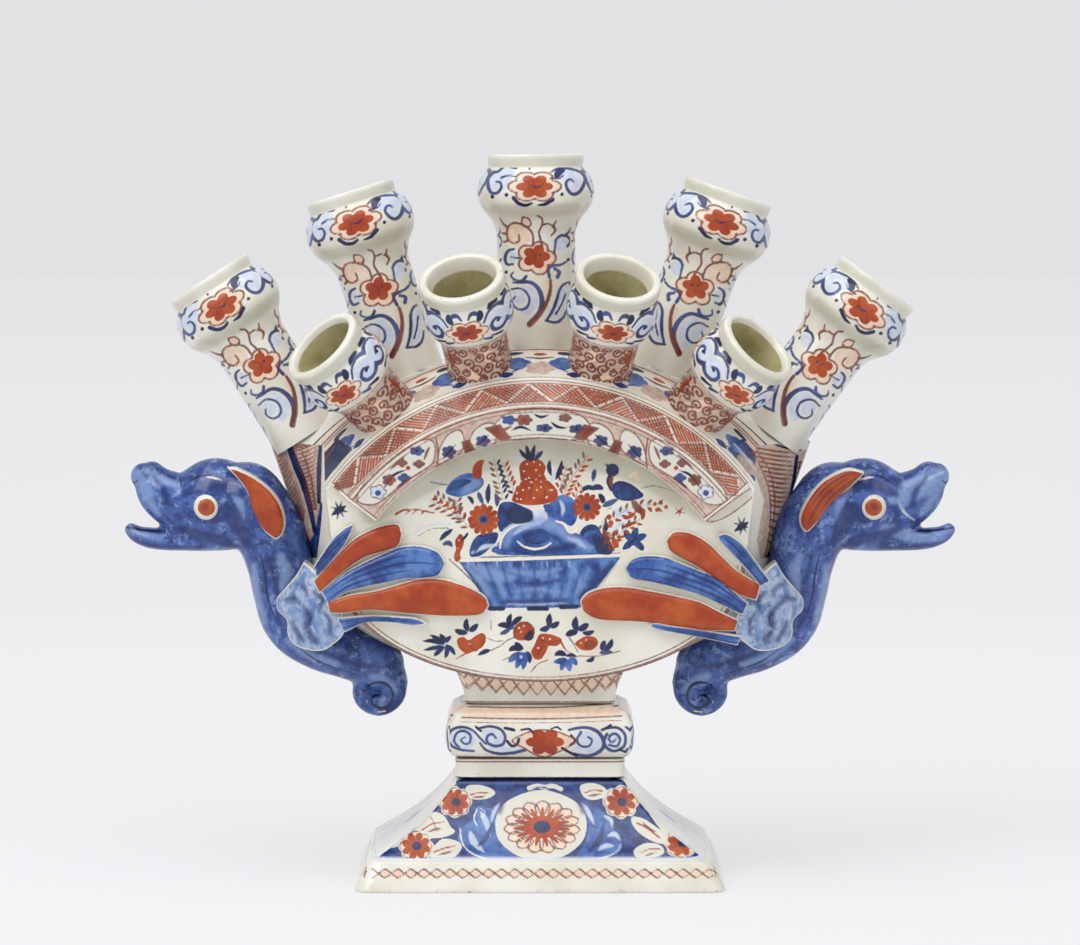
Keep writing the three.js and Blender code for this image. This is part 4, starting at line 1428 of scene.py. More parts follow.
class VASE_OT_body(bpy.types.Operator):
    """Front and back panels, bowl, sides, shoulder and crest of the fan body"""

    bl_idname = "vase.body"
    bl_label = "Fan Body"

    def execute(self, context):
        step = sizes().body_step / MM
        art = basket_drawing()

        front = panel("front_panel", DISC, FRONT_Y, sizes().panel_step, 1)
        co = points_of(front)
        paint_seen(front, art, co)
        # Painted shade under the arched moulding
        paint_seen(front, Drawing(SHADE), co)
        self.edge_line(front, DISC)
        finish_piece(front, "front_panel")

        back = panel("back_panel", FAN, BACK_Y, sizes().body_step * 0.95, -1)
        turned = points_of(back) * (-1, 1, 1)
        turned[:, 1] = FRONT_Y * MM
        paint_seen(back, art, turned)
        self.edge_line(back, FAN, 0)
        finish_piece(back, "back_panel")

        shoulder = strip("shoulder", 0, 1, FRONT_Y, LEDGE_Y, round(180 / step), round(23 / step))
        middle = (DISC_RADIUS + LEDGE_RADIUS) / 2
        paint(shoulder, shoulder_drawing(), round_arc(shoulder, middle, FRONT_Y))
        finish_piece(shoulder, "shoulder")

        crest = strip("crest", 0, 1, LEDGE_Y, BACK_Y, round(206 / step), round(39 / step))
        for y, width, layer in ((-9.2, 0.8, "brown"), (-8, 1.4, "salmon"), (-6.4, 0.7, "dark"),
                                (23, 1, "brown")):
            line_round(crest, DEEP, y, width, layer)
        spots = Drawing()
        for x in (-66, -44, -38, -9, 9, 38, 44, 66):
            spots.area("ground", lobed(x, -2.6, 2.2, 1.3, 4, 0.1))
        paint(crest, spots, round_arc(crest, CREST_ARC, 0))
        finish_piece(crest, "crest")

        for name, q0 in (("right_side", 1), ("left_side", 3)):
            side = strip(name, q0, q0 + 1, FRONT_Y, BACK_Y, round(46 / step), round(60 / step))
            art = side_drawing(name)
            co = points_of(side)
            # The back half mirrors the painted front half
            for _ in range(2):
                paint_seen(side, art, co, co[:, 1] < (CREST_Y - 0.5) * MM)
                co[:, 1] = 2 * CREST_Y * MM - co[:, 1]
            for y in (FRONT_Y + 1.2, BACK_Y - 1.2):
                line_round(side, DEEP, y, 0.8, "brown")
            finish_piece(side, name)

        bowl = strip("bowl", 2, 3, FRONT_Y, BACK_Y, round(215 / step), round(58 / step))
        line_round(bowl, DEEP, FRONT_Y + 0.4, 0.8, "brown")
        line_round(bowl, DEEP, FRONT_Y + 2.4, 0.5, "brown")
        finish_piece(bowl, "bowl")
        return {"FINISHED"}

    @staticmethod
    def edge_line(obj, form, start=2):
        """Two thin lines that follow the edge of a flat face, from its arc if start is 0 and
        only the lower edge if it is 2"""
        co = points_of(obj)
        flat = np.column_stack([co[:, 0], co[:, 2]]) / MM
        ring = section(np.linspace(start, 4 if start == 0 else 3, 160), *form)
        for share, half in ((0.014, 0.3), (0.036, 0.2)):
            inner = ring + (np.array([0, PANEL_MIDDLE]) - ring) * share
            gap = run_distance(flat, inner, np.full(len(inner), half))
            add_layer(obj, "brown", soft_edge(gap))


# Arched moulding


PANELS = """
reserve halo1.4 357,498 364,484 380,468 400,452 420,441 431,440 435,448 433,462 424,470 406,481
 389,495 376,504 363,504
brown 1.6 436,438 438,452 437,469
wash bloom1.2 378,492 7.5,6.5 5,0.2
blue dots6 378,493
brown bloom0 389,480 6.5,5.5 5,0.2
red dots4 388,481
blue bloom0 404,478 6,4.5 4,0.2
wash dots3 404,478
brown bloom0 402,463 5,4 4,0.2
brown bloom0 419,464 5.5,4 4,0.2
red dots4.5 408,468
blue bloom0 417,451 7,4.5 5,0.2
dark dots3 417,451
dark leaf3 384,488 394,475 406,470
dark leaf3 396,489 402,484 410,478
brown leaf3 390,470 398,462 406,455
brown leaf3 424,460 427,452 430,446
reserve halo1.4 438,464 440,448 448,435 459,430 464,438 462,450 452,458 443,463
blue bloom0 449,452 7,6 5,0.2
wash dots5 450,451
dark leaf2.4 443,459 449,452 456,444
brown flat 461,442 469,439 476,451 466,456
red leaf5 465,443 469,449 471,454
reserve halo1.4 470,443 474,431 484,424 494,424 497,433 495,443 488,451 478,452
blue bloom0 483,441 7,5.5 5,0.2
wash dots5 483,440
dark leaf2.4 475,447 482,441 490,434
brown flat 484,428 500,424 511,438 500,441
red flat 489,429 498,427 504,437 498,438
"""


CARTOUCHE = """
reserve halo1.4 494,427 502,417 516,411 540,409.5 566,411 583,417 590,427 585,437 570,440
 542,438 514,440 499,437
blue bloom0 509,420 7,4.5 5,0.2
wash dots4 509,420
brown bloom0 524,420 8,5.5 6,0.2
red dots5 524,420
light dots2 527,418
blue bloom0 544,428 8,4 5,0.2
brown bloom0 565,418 6.5,4 5,0.2
blue bloom0 577,429 8,4.5 5,0.2
dark dots3.4 577,429 545,428
dark leaf3 512,430 521,427 532,431
dark leaf3 551,422 558,427 568,428
dark leaf3 534,414 541,417 549,415
brown leaf3 500,432 506,429 512,426
"""


def arch_drawing():
    """Diaper band over a band of painted panels, in picture pixels"""
    art = Drawing()
    end = ARCH_END - math.radians(0.6)

    def at(turns, radius, y=ARCH_Y):
        turns = np.atleast_1d(turns)
        return sight(np.column_stack([
            np.sin(turns) * radius, np.full(len(turns), y), DISC_CENTRE + np.cos(turns) * radius
        ]) * MM)

    def slope(turn, share):
        return at(turn, ARCH_FACE + 9 * share, ARCH_Y + 7.7 * share)

    full = np.linspace(-end, end, 60)
    art.area("blush", np.vstack([at(full, 73.2), slope(full[::-1], 0.97)]))
    for share, width in ((0.06, 1.2), (0.16, 1.1), (0.84, 1.1), (0.95, 1.3)):
        art.line("brown", slope(full, share), width)
    art.line("light", slope(full, 0.9), 1.2)
    fields = 20
    pitch = 2 * end / fields
    for i in range(fields):
        a = -end + (i - 0.5) * pitch
        foot, tip = (0.18, 0.82) if i % 2 else (0.82, 0.18)
        corners = [slope(t, s)[0] for t, s in ((a, foot), (a + 2 * pitch, foot), (a + pitch, tip))]
        for k in range(1, 10):
            s = k / 10
            left = corners[0] + s * (corners[1] - corners[0])
            right = corners[2] + s * (corners[1] - corners[2])
            art.line("brown" if k % 3 == 1 else "red", [left, right], 1.8)
            if i % 3 != 1:
                right = corners[2] + s * (corners[0] - corners[2])
                left = corners[1] + s * (corners[0] - corners[1])
                art.line("brown", [left, right], 1.4)
        art.line("light", [corners[0], corners[2]], 1.3)
        art.line("light", [corners[1], corners[2]], 1.3)
    art.line("brown", at(full, 83.6), 1.3)
    art.line("reserve", at(full, 84.7), 3)
    for radius, width in ((73.1, 1.3), (74.3, 1.1), (82.2, 1.1)):
        art.line("brown", at(full, radius), width)
    for turn in (-end, end):
        art.line("brown", np.vstack([at(turn, 73), at(turn, ARCH_FACE), slope(turn, 0.95)]), 1.4)
    return art.add(Drawing(PANELS).both_sides(PANEL_AXIS)).draw(CARTOUCHE)


class VASE_OT_arch(bpy.types.Operator):
    """Arched moulding on the front, a profile spun along the arc"""

    bl_idname = "vase.arch"
    bl_label = "Arched Moulding"

    def execute(self, context):
        obj = new_object("arch_moulding", bpy.ops.mesh.primitive_circle_add, vertices=5, radius=1)
        profile = [(ARCH_FACE, ARCH_Y), (ARCH_IN + 0.4, ARCH_Y), (ARCH_IN, ARCH_Y + 0.4),
                   (ARCH_IN, FRONT_Y - 0.1), (ARCH_OUT, FRONT_Y - 0.1)]
        start = Matrix.Rotation(-ARCH_END, 3, "Y")
        move_points(obj, [
            (start @ Vector((0, y * MM, r * MM))) + Vector((0, 0, DISC_CENTRE * MM))
            for r, y in profile
        ])
        open_mesh()
        bpy.ops.mesh.bevel(affect="VERTICES", offset=0.5 * MM, segments=2)
        bpy.ops.mesh.select_all(action="SELECT")
        close_mesh()
        for edge in obj.data.edges:
            a, b = (obj.data.vertices[i].co for i in edge.vertices)
            edge.select = (a - b).length > 3 * MM and min(a.y, b.y) < -30 * MM
        bpy.ops.object.mode_set(mode="EDIT")
        bpy.ops.mesh.subdivide(number_cuts=26)
        bpy.ops.mesh.select_all(action="SELECT")
        bpy.ops.mesh.edge_face_add()
        bpy.ops.mesh.spin(
            steps=330, angle=-2 * ARCH_END, center=(0, 0, DISC_CENTRE * MM), axis=(0, 1, 0)
        )
        close_mesh()
        turn_out(obj)
        co = points_of(obj)
        paint_seen(obj, arch_drawing(), co, co[:, 1] < (FRONT_Y - 0.4) * MM)
        finish_piece(obj, "arch_moulding")
        return {"FINISHED"}


# Spouts


SPOUT_SIDES = 56


def thrown(name, profile):
    """A turned shape: a ring raised, widened and narrowed step by step along a profile of
    (radius, height) in millimetres"""
    r0, h0 = profile[0]
    obj = new_object(
        name, bpy.ops.mesh.primitive_circle_add, vertices=SPOUT_SIDES, radius=r0 * MM,
        location=(0, 0, h0 * MM), fill_type="NOTHING",
    )
    place(obj, obj.matrix_world.copy())
    open_mesh()
    for (ra, ha), (rb, hb) in zip(profile, profile[1:]):
        bpy.ops.mesh.extrude_region_move(
            TRANSFORM_OT_translate={"value": (0, 0, (hb - ha) * MM)}
        )
        bpy.ops.transform.resize(value=(rb / ra, rb / ra, 1), center_override=(0, 0, hb * MM))
    close_mesh()
    subdivide(obj)
    return turn_out(obj)


def tall_profile(length, girth):
    n, bore = TALL_NECK * girth, TALL_BORE * girth
    outer = [(n * 1.06, -6), (n * 1.03, 0), (n, 14), (n, length - 29), (n * 1.02, length - 27.5),
             (n * 1.12, length - 24), (n * 1.4, length - 19), (n * 1.485, length - 16),
             (n * 1.5, length - 13), (n * 1.42, length - 8), (n * 1.24, length - 5.4),
             (n * 1.19, length - 4.6), (n * 1.205, length - 4), (n * 1.23, length - 1.2),
             (n * 1.22, length - 0.3), (n * 1.18, length)]
    inner = [(n * 1.02, length), (n * 0.98, length - 0.5), (n * 0.94, length - 8),
             (bore, length - 20), (bore, 0)]
    return between(outer, 2.5) + between(inner, 5)


def short_profile():
    n, bore, length = SHORT_NECK, SHORT_BORE, SHORT_LENGTH
    outer = [(n * 1.12, -8), (n * 1.02, 2), (n, 8), (n * 1.03, length - 24),
             (n * 1.3, length - 19.5), (n * 1.37, length - 17), (n * 1.4, length - 14),
             (n * 1.34, length - 8.5), (n * 1.22, length - 5.6), (n * 1.22, length - 5.2),
             (n * 1.3, length - 4.8), (n * 1.31, length - 4), (n * 1.31, length - 1),
             (n * 1.28, length - 0.2), (n * 1.24, length)]
    inner = [(n * 1.1, length), (n * 1.05, length - 0.6), (n * 0.92, length - 7),
             (bore, length - 16), (bore, 0)]
    return between(outer, 2.2) + between(inner, 5)


def seen_from_three_sides(co):
    """Each third of a spout as it is seen from its own side: millimetres across"""
    turn = np.arctan2(co[:, 0], -co[:, 1])
    third = 2 * math.pi / 3
    turn = (turn + third / 2) % third - third / 2
    return np.hypot(co[:, 0], co[:, 1]) / MM * np.sin(turn)


# Marks of a tall spout, in picture pixels; the olive stroke under the cup is painted shade below
# its bulge
TALL = """
salmon bloom1.7 536,195 24,14 6,0.16
red bloom0 536,195 16,10.5 6,0.26
dark 1.6 533,194 538,196 542,194
brown 1.2 527,189 531,194 529,200
brown 1.2 547,189 543,194 545,200
dark 3.4,3,2.2 515,206 520,211.5 527,213.5 533,211.5
dark dots3.4 554,208
dark 1.6,3,3.8 539,213.5 546,212.5 553,208
wash round 493,184 503,178 516,179 512,190 504,198 495,199 490,192
blue 1.8,2.6,3,2.4,1.8 518,177 507,175 500,180 495,181 490,187 490,195 493,201 499,201 503,196
 502,191 498,190
blue 2,1.4 503,186 510,184 517,185
blue 1.4,2,1.6 519,176 525,171 531,174 531,178
dark dots3.4 494,205 508,203
blue 2,3,2 487,180 482,190 484,200
wash leaf4 487,178 480,188 481,198
wash round 558,180 570,179 581,184 581,194 575,201 568,196 562,188
blue 2,3,2 541,175 545,171 550,175
dark leaf6 557,187 560,181 566,179
blue 1.8,2.2,3.2,2.6,1.6 552,181 558,178 566,177 581,181 586,188 584,195 580,201 574,203 569,199
 567,192 571,188 575,191
blue 2,1.4 552,187 560,187 565,184
dark dots3.2 589,184 591,190 590,196 563,203
salmon round 509,236 516,230 526,236 532,246 524,254 512,252
brown 2,1.7 534,253 534,244 531,238 524,233 516,231 510,234 508,240 509,247 514,251 520,249 520,243
brown 2.4,1 509,236 504,231 501,226
brown 2.4,1 508,242 502,241 499,238
brown 2.4,1 510,248 505,250 502,247
salmon round 524,226 529,227 532,233 526,234
brown 1.5 524,225 530,227 532,233 526,235 523,230 524,225
brown 2,1.7 543,254 541,246 540,240 543,233 543,227 539,224
brown 1.8,1.4 543,233 549,232 554,234 557,229
brown 2.6,1.4 554,234 556,239 552,244
salmon bloom1.7 537,266 17.5,15 5,0.2
red bloom0 537,264.5 12,10.5 5,0.26
brown 1.4 533,259 537,264 535,269
dark dots2.4 541,263
wash round 557,252 562,247 568,249 566,256 559,260
blue 1.8,2.6,2 555,262 556,254 557,248 562,244 568,245 571,250 568,255
blue 2.6,1 566,244 570,240 572,236
wash round 510,261 516,261 518,269 511,270
blue 2,3,2 515,257 509,259 506,266 508,272 514,272
dark 1.6 512,265 520,266
blue 1.6,2.6 514,280 512,284 517,288 523,288 527,284
wash round 522,294 532,294 538,304 538,314 530,322 523,324 522,316 528,310 527,302
blue 2,3.2,4.4,3.2 514,290 522,290 531,290 538,295 542,304 542,314 538,322 529,331
blue 1.8,2.2,1.6 512,297 520,296 526,299 530,306 528,314 522,317 516,315 513,309 516,304
wash round 514,299 524,300 526,309 520,313 515,309
brown 2.6,3.4,4.6 551,288 551,296 549,305 545,314 539,323 530,332
salmon 2 547,290 547,298 544,307 539,315
blue 2.8,2 550,285 549,277 554,273.5 561,273 567,270
blue 2.2,3.4 555,277 560,280 558,285
wash round 550,325 556,313 561,300 567,293 570,300 565,312 564,320 558,326
blue 2,3,2.4,1.6 547,328 553,318 557,308 560,298 565,292 571,291
blue 2,2.6,1.6 546,328 556,330 563,326 567,318
dark 1.5 556,322 562,312 566,302
wash round 577,303 584,304 584,314 578,316
blue 2.6,3.6,2.6,1.8 570,291 575,297 583,299 590,305 588,315 583,322 577,320 572,313 574,305
 580,306
pool 10 496,217 536,220 576,217
dark 1.8 575,273 580,277 576,281
dark 1.8 577,284 577,291
dark dots3 507,280 569,268
"""
SHORT = """
salmon bloom0.55 0,13.6 6.9,4.2 6,0.18
red bloom0 0,13.5 4.8,3 6,0.26
dark 0.7 -0.8,13.4 0.8,13.8
brown 0.45 -2,11.8 -1.4,13.4 -2.2,15
brown 0.45 2.2,12 1.6,13.6 2.2,15
blush flat -13,21 13,21 13,46 -13,46
brown 0.6 -13,20.4 0,20.4 13,20.4
red leaf2 -9,25 -8,29 -9,32
salmon leaf4 3,25 5,28 6,32
salmon leaf3.4 -4,33 -1,36 1,39
"""
SHORT_HALF = """
wash round 7.4,10.4 10.4,8.2 13.8,10.2 14,13.6 11,15.8 8.4,14
blue 0.8,1.3,1.5,0.9 6.4,11 8.4,8 11.6,7.2 14.4,9.4 14.8,13 12.4,15.9 9.6,15.4 8.8,13 10.4,11.4
 12,12.4
blue 0.8,1.6,0.8 1.2,8.4 2.6,6.7 4.6,7.2 5.6,8.8
dark leaf2.4 4.6,9.6 5.6,8 5.4,6.4
blue 0.9,1.6 5.4,17.6 7.8,18.5
dark 0.8,1.5 8.2,17.4 11.4,18.4
dark leaf2 8.4,6.9 10.2,5.7 12,6.2
dark dots1.2 11.2,12.6
"""


def tall_drawing():
    """Flowers and scrolls of a tall spout: millimetres across and below the rim"""
    return Drawing().add(Drawing(TALL), (-194.4, -59.0), (0.362, 0.362), 1.22)


def short_drawing():
    """Flower and scrolls of a short spout, over a tube full of brown scrollwork"""
    art = Drawing(SHORT).add(Drawing(SHORT_HALF).both_sides(0))
    for k in range(35):
        row, column = divmod(k, 7)
        turn = 1 if (row + column) % 2 else -1
        x, y = (column - 3) * 4 + (row % 2) * 1.6, 23.4 + row * 4.4 + (column % 3) * 0.7
        r = 1.7 + 0.4 * ((row * 5 + column * 3) % 4) / 2
        ring = [(x + math.cos(a) * q, y + turn * math.sin(a) * q)
                for a, q in zip(np.linspace(0.5, 7.6, 14), np.linspace(0.5, r, 14))]
        art.stroke("brown", ring, (1.2, 0.75, 0.8, 0.75))
        art.line("brown", [ring[-1], (ring[-1][0] + turn * 2, ring[-1][1] + 2)], (0.9, 0.6))
    return art


class VASE_OT_tall_spouts(bpy.types.Operator):
    """Five tall spouts, thrown and leant out along the crest"""

    bl_idname = "vase.tall_spouts"
    bl_label = "Tall Spouts"

    def execute(self, context):
        art = tall_drawing()
        spouts = ((-32.4, -33, 61.4, 1), (-17.5, -17.3, 68.2, 1), (-0.4, -0.4, 71, 1.06),
                  (16.2, 20, 68.2, 1), (32, 36.6, 61.4, 1))
        for i, (root, lean, length, girth) in enumerate(spouts, 1):
            spout = thrown(f"tall_spout_{i}", tall_profile(length, girth))
            side = -1 if i > 3 else 1
            paint_spout(spout, art, length, (14.6 * girth, 12 * girth), side, 4, 0.55)
            angle = math.radians(root)
            foot = Vector((math.sin(angle) * FAN_RADIUS, TALL_Y,
                           FAN[0] + math.cos(angle) * FAN_RADIUS))
            turn = Matrix.Rotation(math.radians(lean), 4, "Y")
            place(spout, Matrix.Translation(foot * MM) @ turn)
            finish_piece(spout, f"tall_spout_{i}")
        return {"FINISHED"}


def paint_spout(spout, art, length, walls, side, mouth, rim):
    """Paints the outside, browns the inside below its white mouth, and paints shade on the band
    under the rim, as strong as rim. walls is the middle of the wall at the mouth and below it."""
    co = points_of(spout)
    below = length - co[:, 2] / MM
    out = np.hypot(co[:, 0], co[:, 1]) / MM > np.interp(below, (0, 18), walls)
    flat = np.column_stack([seen_from_three_sides(co) * side, below])
    paint(spout, art, flat, 1, out & (below > 4.8))
    add_layer(spout, "inside", np.clip((below - mouth) / 1.6, 0, 1) * ~out)
    # Painted shade on the band just under the rim
    add_layer(spout, "pool", np.interp(below, (0.6, 2, 4, 6.4), (0, rim, rim, 0)) * out)
    add_layer(spout, "wear", np.clip(0.8 - np.abs(below) / 0.7, 0, 1) * 0.5)


class VASE_OT_short_spouts(bpy.types.Operator):
    """Four short spouts, thrown and leant forwards on the shoulder"""

    bl_idname = "vase.short_spouts"
    bl_label = "Short Spouts"

    def execute(self, context):
        art = short_drawing()
        lean = Matrix.Rotation(math.radians(32), 4, "X")
        spouts = ((-33.72, 9.12, -38), (-12.43, 5.5, -9.4), (12.43, 5.5, 9.4), (33.72, 9.12, 38))
        for i, (angle, sink, splay) in enumerate(spouts, 1):
            spout = thrown(f"short_spout_{i}", short_profile())
            side, mouth = -1 if i > 2 else 1, 1.4 if i in (1, 4) else 4.4
            paint_spout(spout, art, SHORT_LENGTH, (13.6, 10.3), side, mouth, 0.9)
            turn, radius = math.radians(angle), LEDGE_RADIUS - sink
            foot = Vector((math.sin(turn) * radius, SHORT_Y,
                           DISC_CENTRE + math.cos(turn) * radius))
            spin = Matrix.Rotation(math.radians(splay), 4, "Y")
            place(spout, Matrix.Translation(foot * MM) @ lean @ spin)
            finish_piece(spout, f"short_spout_{i}")
        return {"FINISHED"}


# Dragons. The left one is modelled, and the right one is its mirror image.

SPINE = [(-106.7, 134.8, 14.3), (-98.4, 123.9, 13.4), (-94.8, 113, 12.2), (-93.4, 100.3, 10.6),
         (-90.2, 89.8, 10), (-81, 83, 9.9), (-69, 79.2, 10), (-58.6, 75, 9.6)]
CURL = [(-58, 75, 8), (-54.6, 71.6, 6), (-53, 67, 4.9), (-55.2, 61.6, 4.4), (-61, 60.6, 4.1),
        (-64.6, 65.4, 3.8), (-61.4, 69.6, 3.3), (-58, 67.4, 2.8)]
SNOUT = [(-118, 134, 13.6), (-124, 134.2, 12.2), (-130.9, 134, 10.4), (-137.1, 137.7, 9.4),
         (-141.1, 141.3, 7.4), (-143.5, 143.5, 5.1)]
JAW = [(-113, 122.4, 6), (-122, 121.4, 5.3), (-129.5, 120.9, 4.6), (-136.5, 120.6, 4.1),
       (-142, 121.2, 3.9), (-146.2, 122.5, 3.2), (-148.2, 124, 2.6)]
# Brush marks of the left dragon in picture pixels, with painted light and shade: pale washes where
# light falls and navy washes where shade falls on the head, neck and tail, dark lines in the mouth
# and in the creases of the tail's curl, and cream painted highlights on the brow and the curl
DRAGON_MARKS_LIGHT_AND_SHADE = """
haze 8,14,9 132,470 138,478 150,494
haze 6,9,6 146,470 160,480 176,484
haze 5,8,5 140,488 150,502 158,514
haze 6,9,5 232,486 240,504 240,524
haze 4,5,4 126,530 142,535 160,539
haze 5,8,6 254,566 256,590 264,622
haze 7,12,6 280,556 286,572 282,588
haze 6,9,6 288,640 310,656 336,664
haze 5,9,6 300,668 322,680 350,690
haze 4,5,3 190,532 206,540 224,540
haze 6,8,5 372,676 384,680 396,690
dusk 7,12,15,9 184,494 202,486 222,484 242,494
dusk 10,20,16,8 214,520 228,512 238,526 246,544
dusk 6,12,12,6 180,528 200,536 222,540 240,552
dusk 4,7,6 154,478 164,490 168,506
dusk 5,6,4 170,476 180,480 190,478
dusk 4,5,4 134,542 158,547 200,549
dusk 4,6,5 268,556 274,580 280,604
dusk 3,5,3 286,592 278,612 284,636
dusk 4,5,4 246,566 249,596 258,630
dusk 4,6,4 318,650 350,662 384,668
dark 1,2.6,2.2,1 260,552 265,574 268,598 278,628
dark 1.8,2.6,2 122,527 142,530 164,531
dark 1,2.4,1 184,486 198,477 214,474
dark 1,2,1 222,490 232,500 236,514
dark 1.6,2.4,1.6 250,480 264,494 272,512
dark 1,2,1 296,646 320,662 348,672
dark 2,3,2.6,1.6 363,692 371,684 384,683 392,691 391,703 381,708 372,703 374,696 381,695
dark 1.6 128,479 134,483 138,480
light 1.4,2.2,1 206,477 214,478 222,480
light 1.2 366,700 369,706
light 1.2 378,712 386,711
brown 1.6 148,523 151,520 154,523 157,520 160,524
"""


PALE_SNOUT = """
haze 8,18,22,20,12 892,500 908,494 922,486 936,478 946,474
haze 8,12,8 884,528 910,536 940,540
haze 5,8,6 886,486 896,494 902,506
wash 2,4,3,2 912,490 922,482 934,476 944,472
wash 1,3,1 898,500 904,512 914,520
"""


def tube(name, stations, deep=1.0):
    """A limb of clay along a curve in the dragon's plane: x, z and radius"""
    obj = new_object(name, bpy.ops.curve.primitive_bezier_curve_add)
    line = obj.data.splines[0]
    line.bezier_points.add(len(stations) - 2)
    for point, (x, z, radius) in zip(line.bezier_points, stations):
        point.handle_left_type = point.handle_right_type = "AUTO"
        point.co = (x * MM, DRAGON_Y * MM, z * MM)
        point.radius = radius
    obj.data.dimensions = "3D"
    obj.data.bevel_depth = MM
    obj.data.bevel_resolution = 6
    obj.data.resolution_u = 10
    obj.data.use_fill_caps = True
    only(obj)
    bpy.ops.object.convert(target="MESH")
    obj = bpy.context.object
    open_mesh()
    bpy.ops.transform.resize(
        value=(1, deep, 1), center_override=(0, DRAGON_Y * MM, 0)
    )
    close_mesh()
    ends = [ball(x, DRAGON_Y, z, r * 0.98, r * 0.98 * deep, r * 0.98)
            for x, z, r in (stations[0], stations[-1])]
    only(obj, *ends)
    bpy.ops.object.join()
    return obj


def ball(x, y, z, rx, ry, rz):
    obj = new_object("ball", bpy.ops.mesh.primitive_uv_sphere_add, segments=32, ring_count=20,
                     radius=1)
    place(obj, Matrix.Translation((x * MM, y * MM, z * MM))
          @ Matrix.Diagonal((rx * MM, ry * MM, rz * MM, 1)))
    return obj


def folded(dragon):
    """A dragon's points with its far side folded on the near one, so that both are painted"""
    co = points_of(dragon)
    co[:, 1] = DRAGON_Y * MM - np.abs(co[:, 1] - DRAGON_Y * MM)
    return co


class VASE_OT_dragons(bpy.types.Operator):
    """Dragon handles: body, head and jaw worked into one lump of clay"""

    bl_idname = "vase.dragons"
    bl_label = "Dragons"

    def execute(self, context):
        lumps = [
            tube("trunk", SPINE), tube("curl", CURL), tube("snout", SNOUT, 0.86),
            tube("jaw", JAW, 1.5), ball(-117.3, DRAGON_Y, 134, 16.2, 13, 16.2),
            ball(-124, DRAGON_Y, 141, 8, 9, 6), ball(-140.6, DRAGON_Y, 145.4, 4.2, 5.4, 3.6),
            ball(-130.6, DRAGON_Y, 126.4, 6.4, 8.4, 6),
        ]
        only(*lumps)
        bpy.ops.object.join()
        dragon = bpy.context.object
        dragon.name = dragon.data.name = "left_dragon"
        apply_modifier(dragon, "REMESH", mode="VOXEL", voxel_size=sizes().clay_voxel,
                       use_smooth_shade=True)
        apply_modifier(dragon, "SMOOTH", factor=0.5, iterations=10)
        turn_out(dragon)
        # Both flanks get the brush marks with their painted light and shade
        paint_seen(dragon, Drawing(DRAGON_MARKS_LIGHT_AND_SHADE), folded(dragon))
        right = mirror_copy(dragon, "right_dragon")
        paint_seen(right, Drawing(PALE_SNOUT), folded(right))
        for side, obj in (("left", dragon), ("right", right)):
            nodes = [f"{side}_dragon_{part}" for part in ("body", "head", "jaw")]
            finish_piece(obj, *nodes, slot="cobalt_glaze", look="cobalt_glaze")
        return {"FINISHED"}


# Ears, eyes and wings. Their edges are in picture pixels from the root to the tip, above
# and then below.

EDGES = {
    "left_feather_1": ("316,562 330,541 341,530 351,524 354,527",
                       "320,575 332,562 346,544 354,527"),
    "left_feather_2": ("316,577 330,562 350,541 368,530 386,524 399,524 403,534",
                       "323,591 335,580 350,568 366,558 386,552 399,546 403,534"),
    "left_feather_3": ("324,588 345,572 365,561 385,552 401,546 416,545 431,548 441,554 446,564",
                       "332,602 345,594 361,589 385,584 406,580 426,579 439,576 446,564"),
    "left_feather_4": ("331,600 350,594 375,590 400,583 420,578 440,578 456,582 472,588"
                       " 485,596 489,604 489,607",
                       "334,614 346,614 371,611 400,614 440,617 468,617 482,615 489,607"),
    "left_feather_5": ("341,617 370,615 400,616 417,618 429,624",
                       "349,631 366,623 390,623 412,626 429,624"),
    "right_feather_1": ("768,577 752,555 740,541 726,533 717,535",
                        "757,583 742,566 728,551 719,541 717,535"),
    "right_feather_2": ("757,582 738,570 725,558 712,545 699,536 685,531 672,532 665,541",
                        "752,600 742,597 730,590 715,580 697,568 680,559 669,551 665,541"),
    "right_feather_3": ("745,600 718,578 700,570 680,562 664,556 645,555 631,559 624,568",
                        "738,614 715,603 696,595 672,588 650,583 631,579 624,568"),
    "right_feather_4": ("735,618 718,610 700,601 675,595 650,590 625,586 604,587 588,592"
                        " 581,599 580,604",
                        "730,632 700,631 680,628 655,625 640,623 612,622 596,620 584,613 580,604"),
    "right_feather_5": ("737,635 700,629 672,625 656,622 648,625",
                        "733,645 700,638 672,633 656,630 648,625"),
    "left_ear": ("236,467 253,475 270,488 281,503 286,520 284,533 277,541",
                 "226,467 238,480 246,492 249,506 255,520 265,533 277,541"),
    "right_ear": ("864,471 850,468 836,472 820,482 807,498 799,515 800,527 807,534",
                  "865,473 855,484 842,496 829,509 818,523 807,534"),
}
WING_ROOT = ("303,563 295,577 284,590 276,600 277,612 286,622 287,636 294,646 306,651 321,652"
             " 332,646 343,635 343,620 335,600 326,590 318,577")
BLOTCHES = """
dusk 4,7,3 286,600 294,598 300,604
dusk 3,8,5 303,606 309,616 306,628
dusk 3,6,3 314,592 322,600 320,610
dusk 5,8 309,632 314,640
dusk 2,5,3 324,612 330,622 330,634
dusk 2,4,2 298,584 304,588 308,596
dusk 3,6,3 293,622 297,632 303,640
dark 1,2,1 306,612 311,618 309,626
haze 3,6,3 300,592 304,600 304,608
haze 3,7,4 316,616 320,626 318,638
haze 2,5,2 292,608 298,614 300,620
haze 3,5,3 326,638 332,632 336,626
"""
EYE = (-120, 133.2)
# The wing's root slopes back to the dragon beyond the edge of the front
WING_Y, WING_SLOPE, WING_EDGE_X = -33.6, 1.05, -70
# Millimetres to a pixel at the wings
WING_PX = 0.357


def edge_of(places, y, y_slope=0.0):
    """A run of picture pixels as millimetres across and up, on a plane at a depth"""
    across, down = np.array([[float(v) for v in pair.split(",")] for pair in places.split()]).T
    past_edge = (across - PICTURE[0] / 2) * WING_PX - WING_EDGE_X
    return seen_at(across, down, y - y_slope * np.minimum(past_edge, 0))


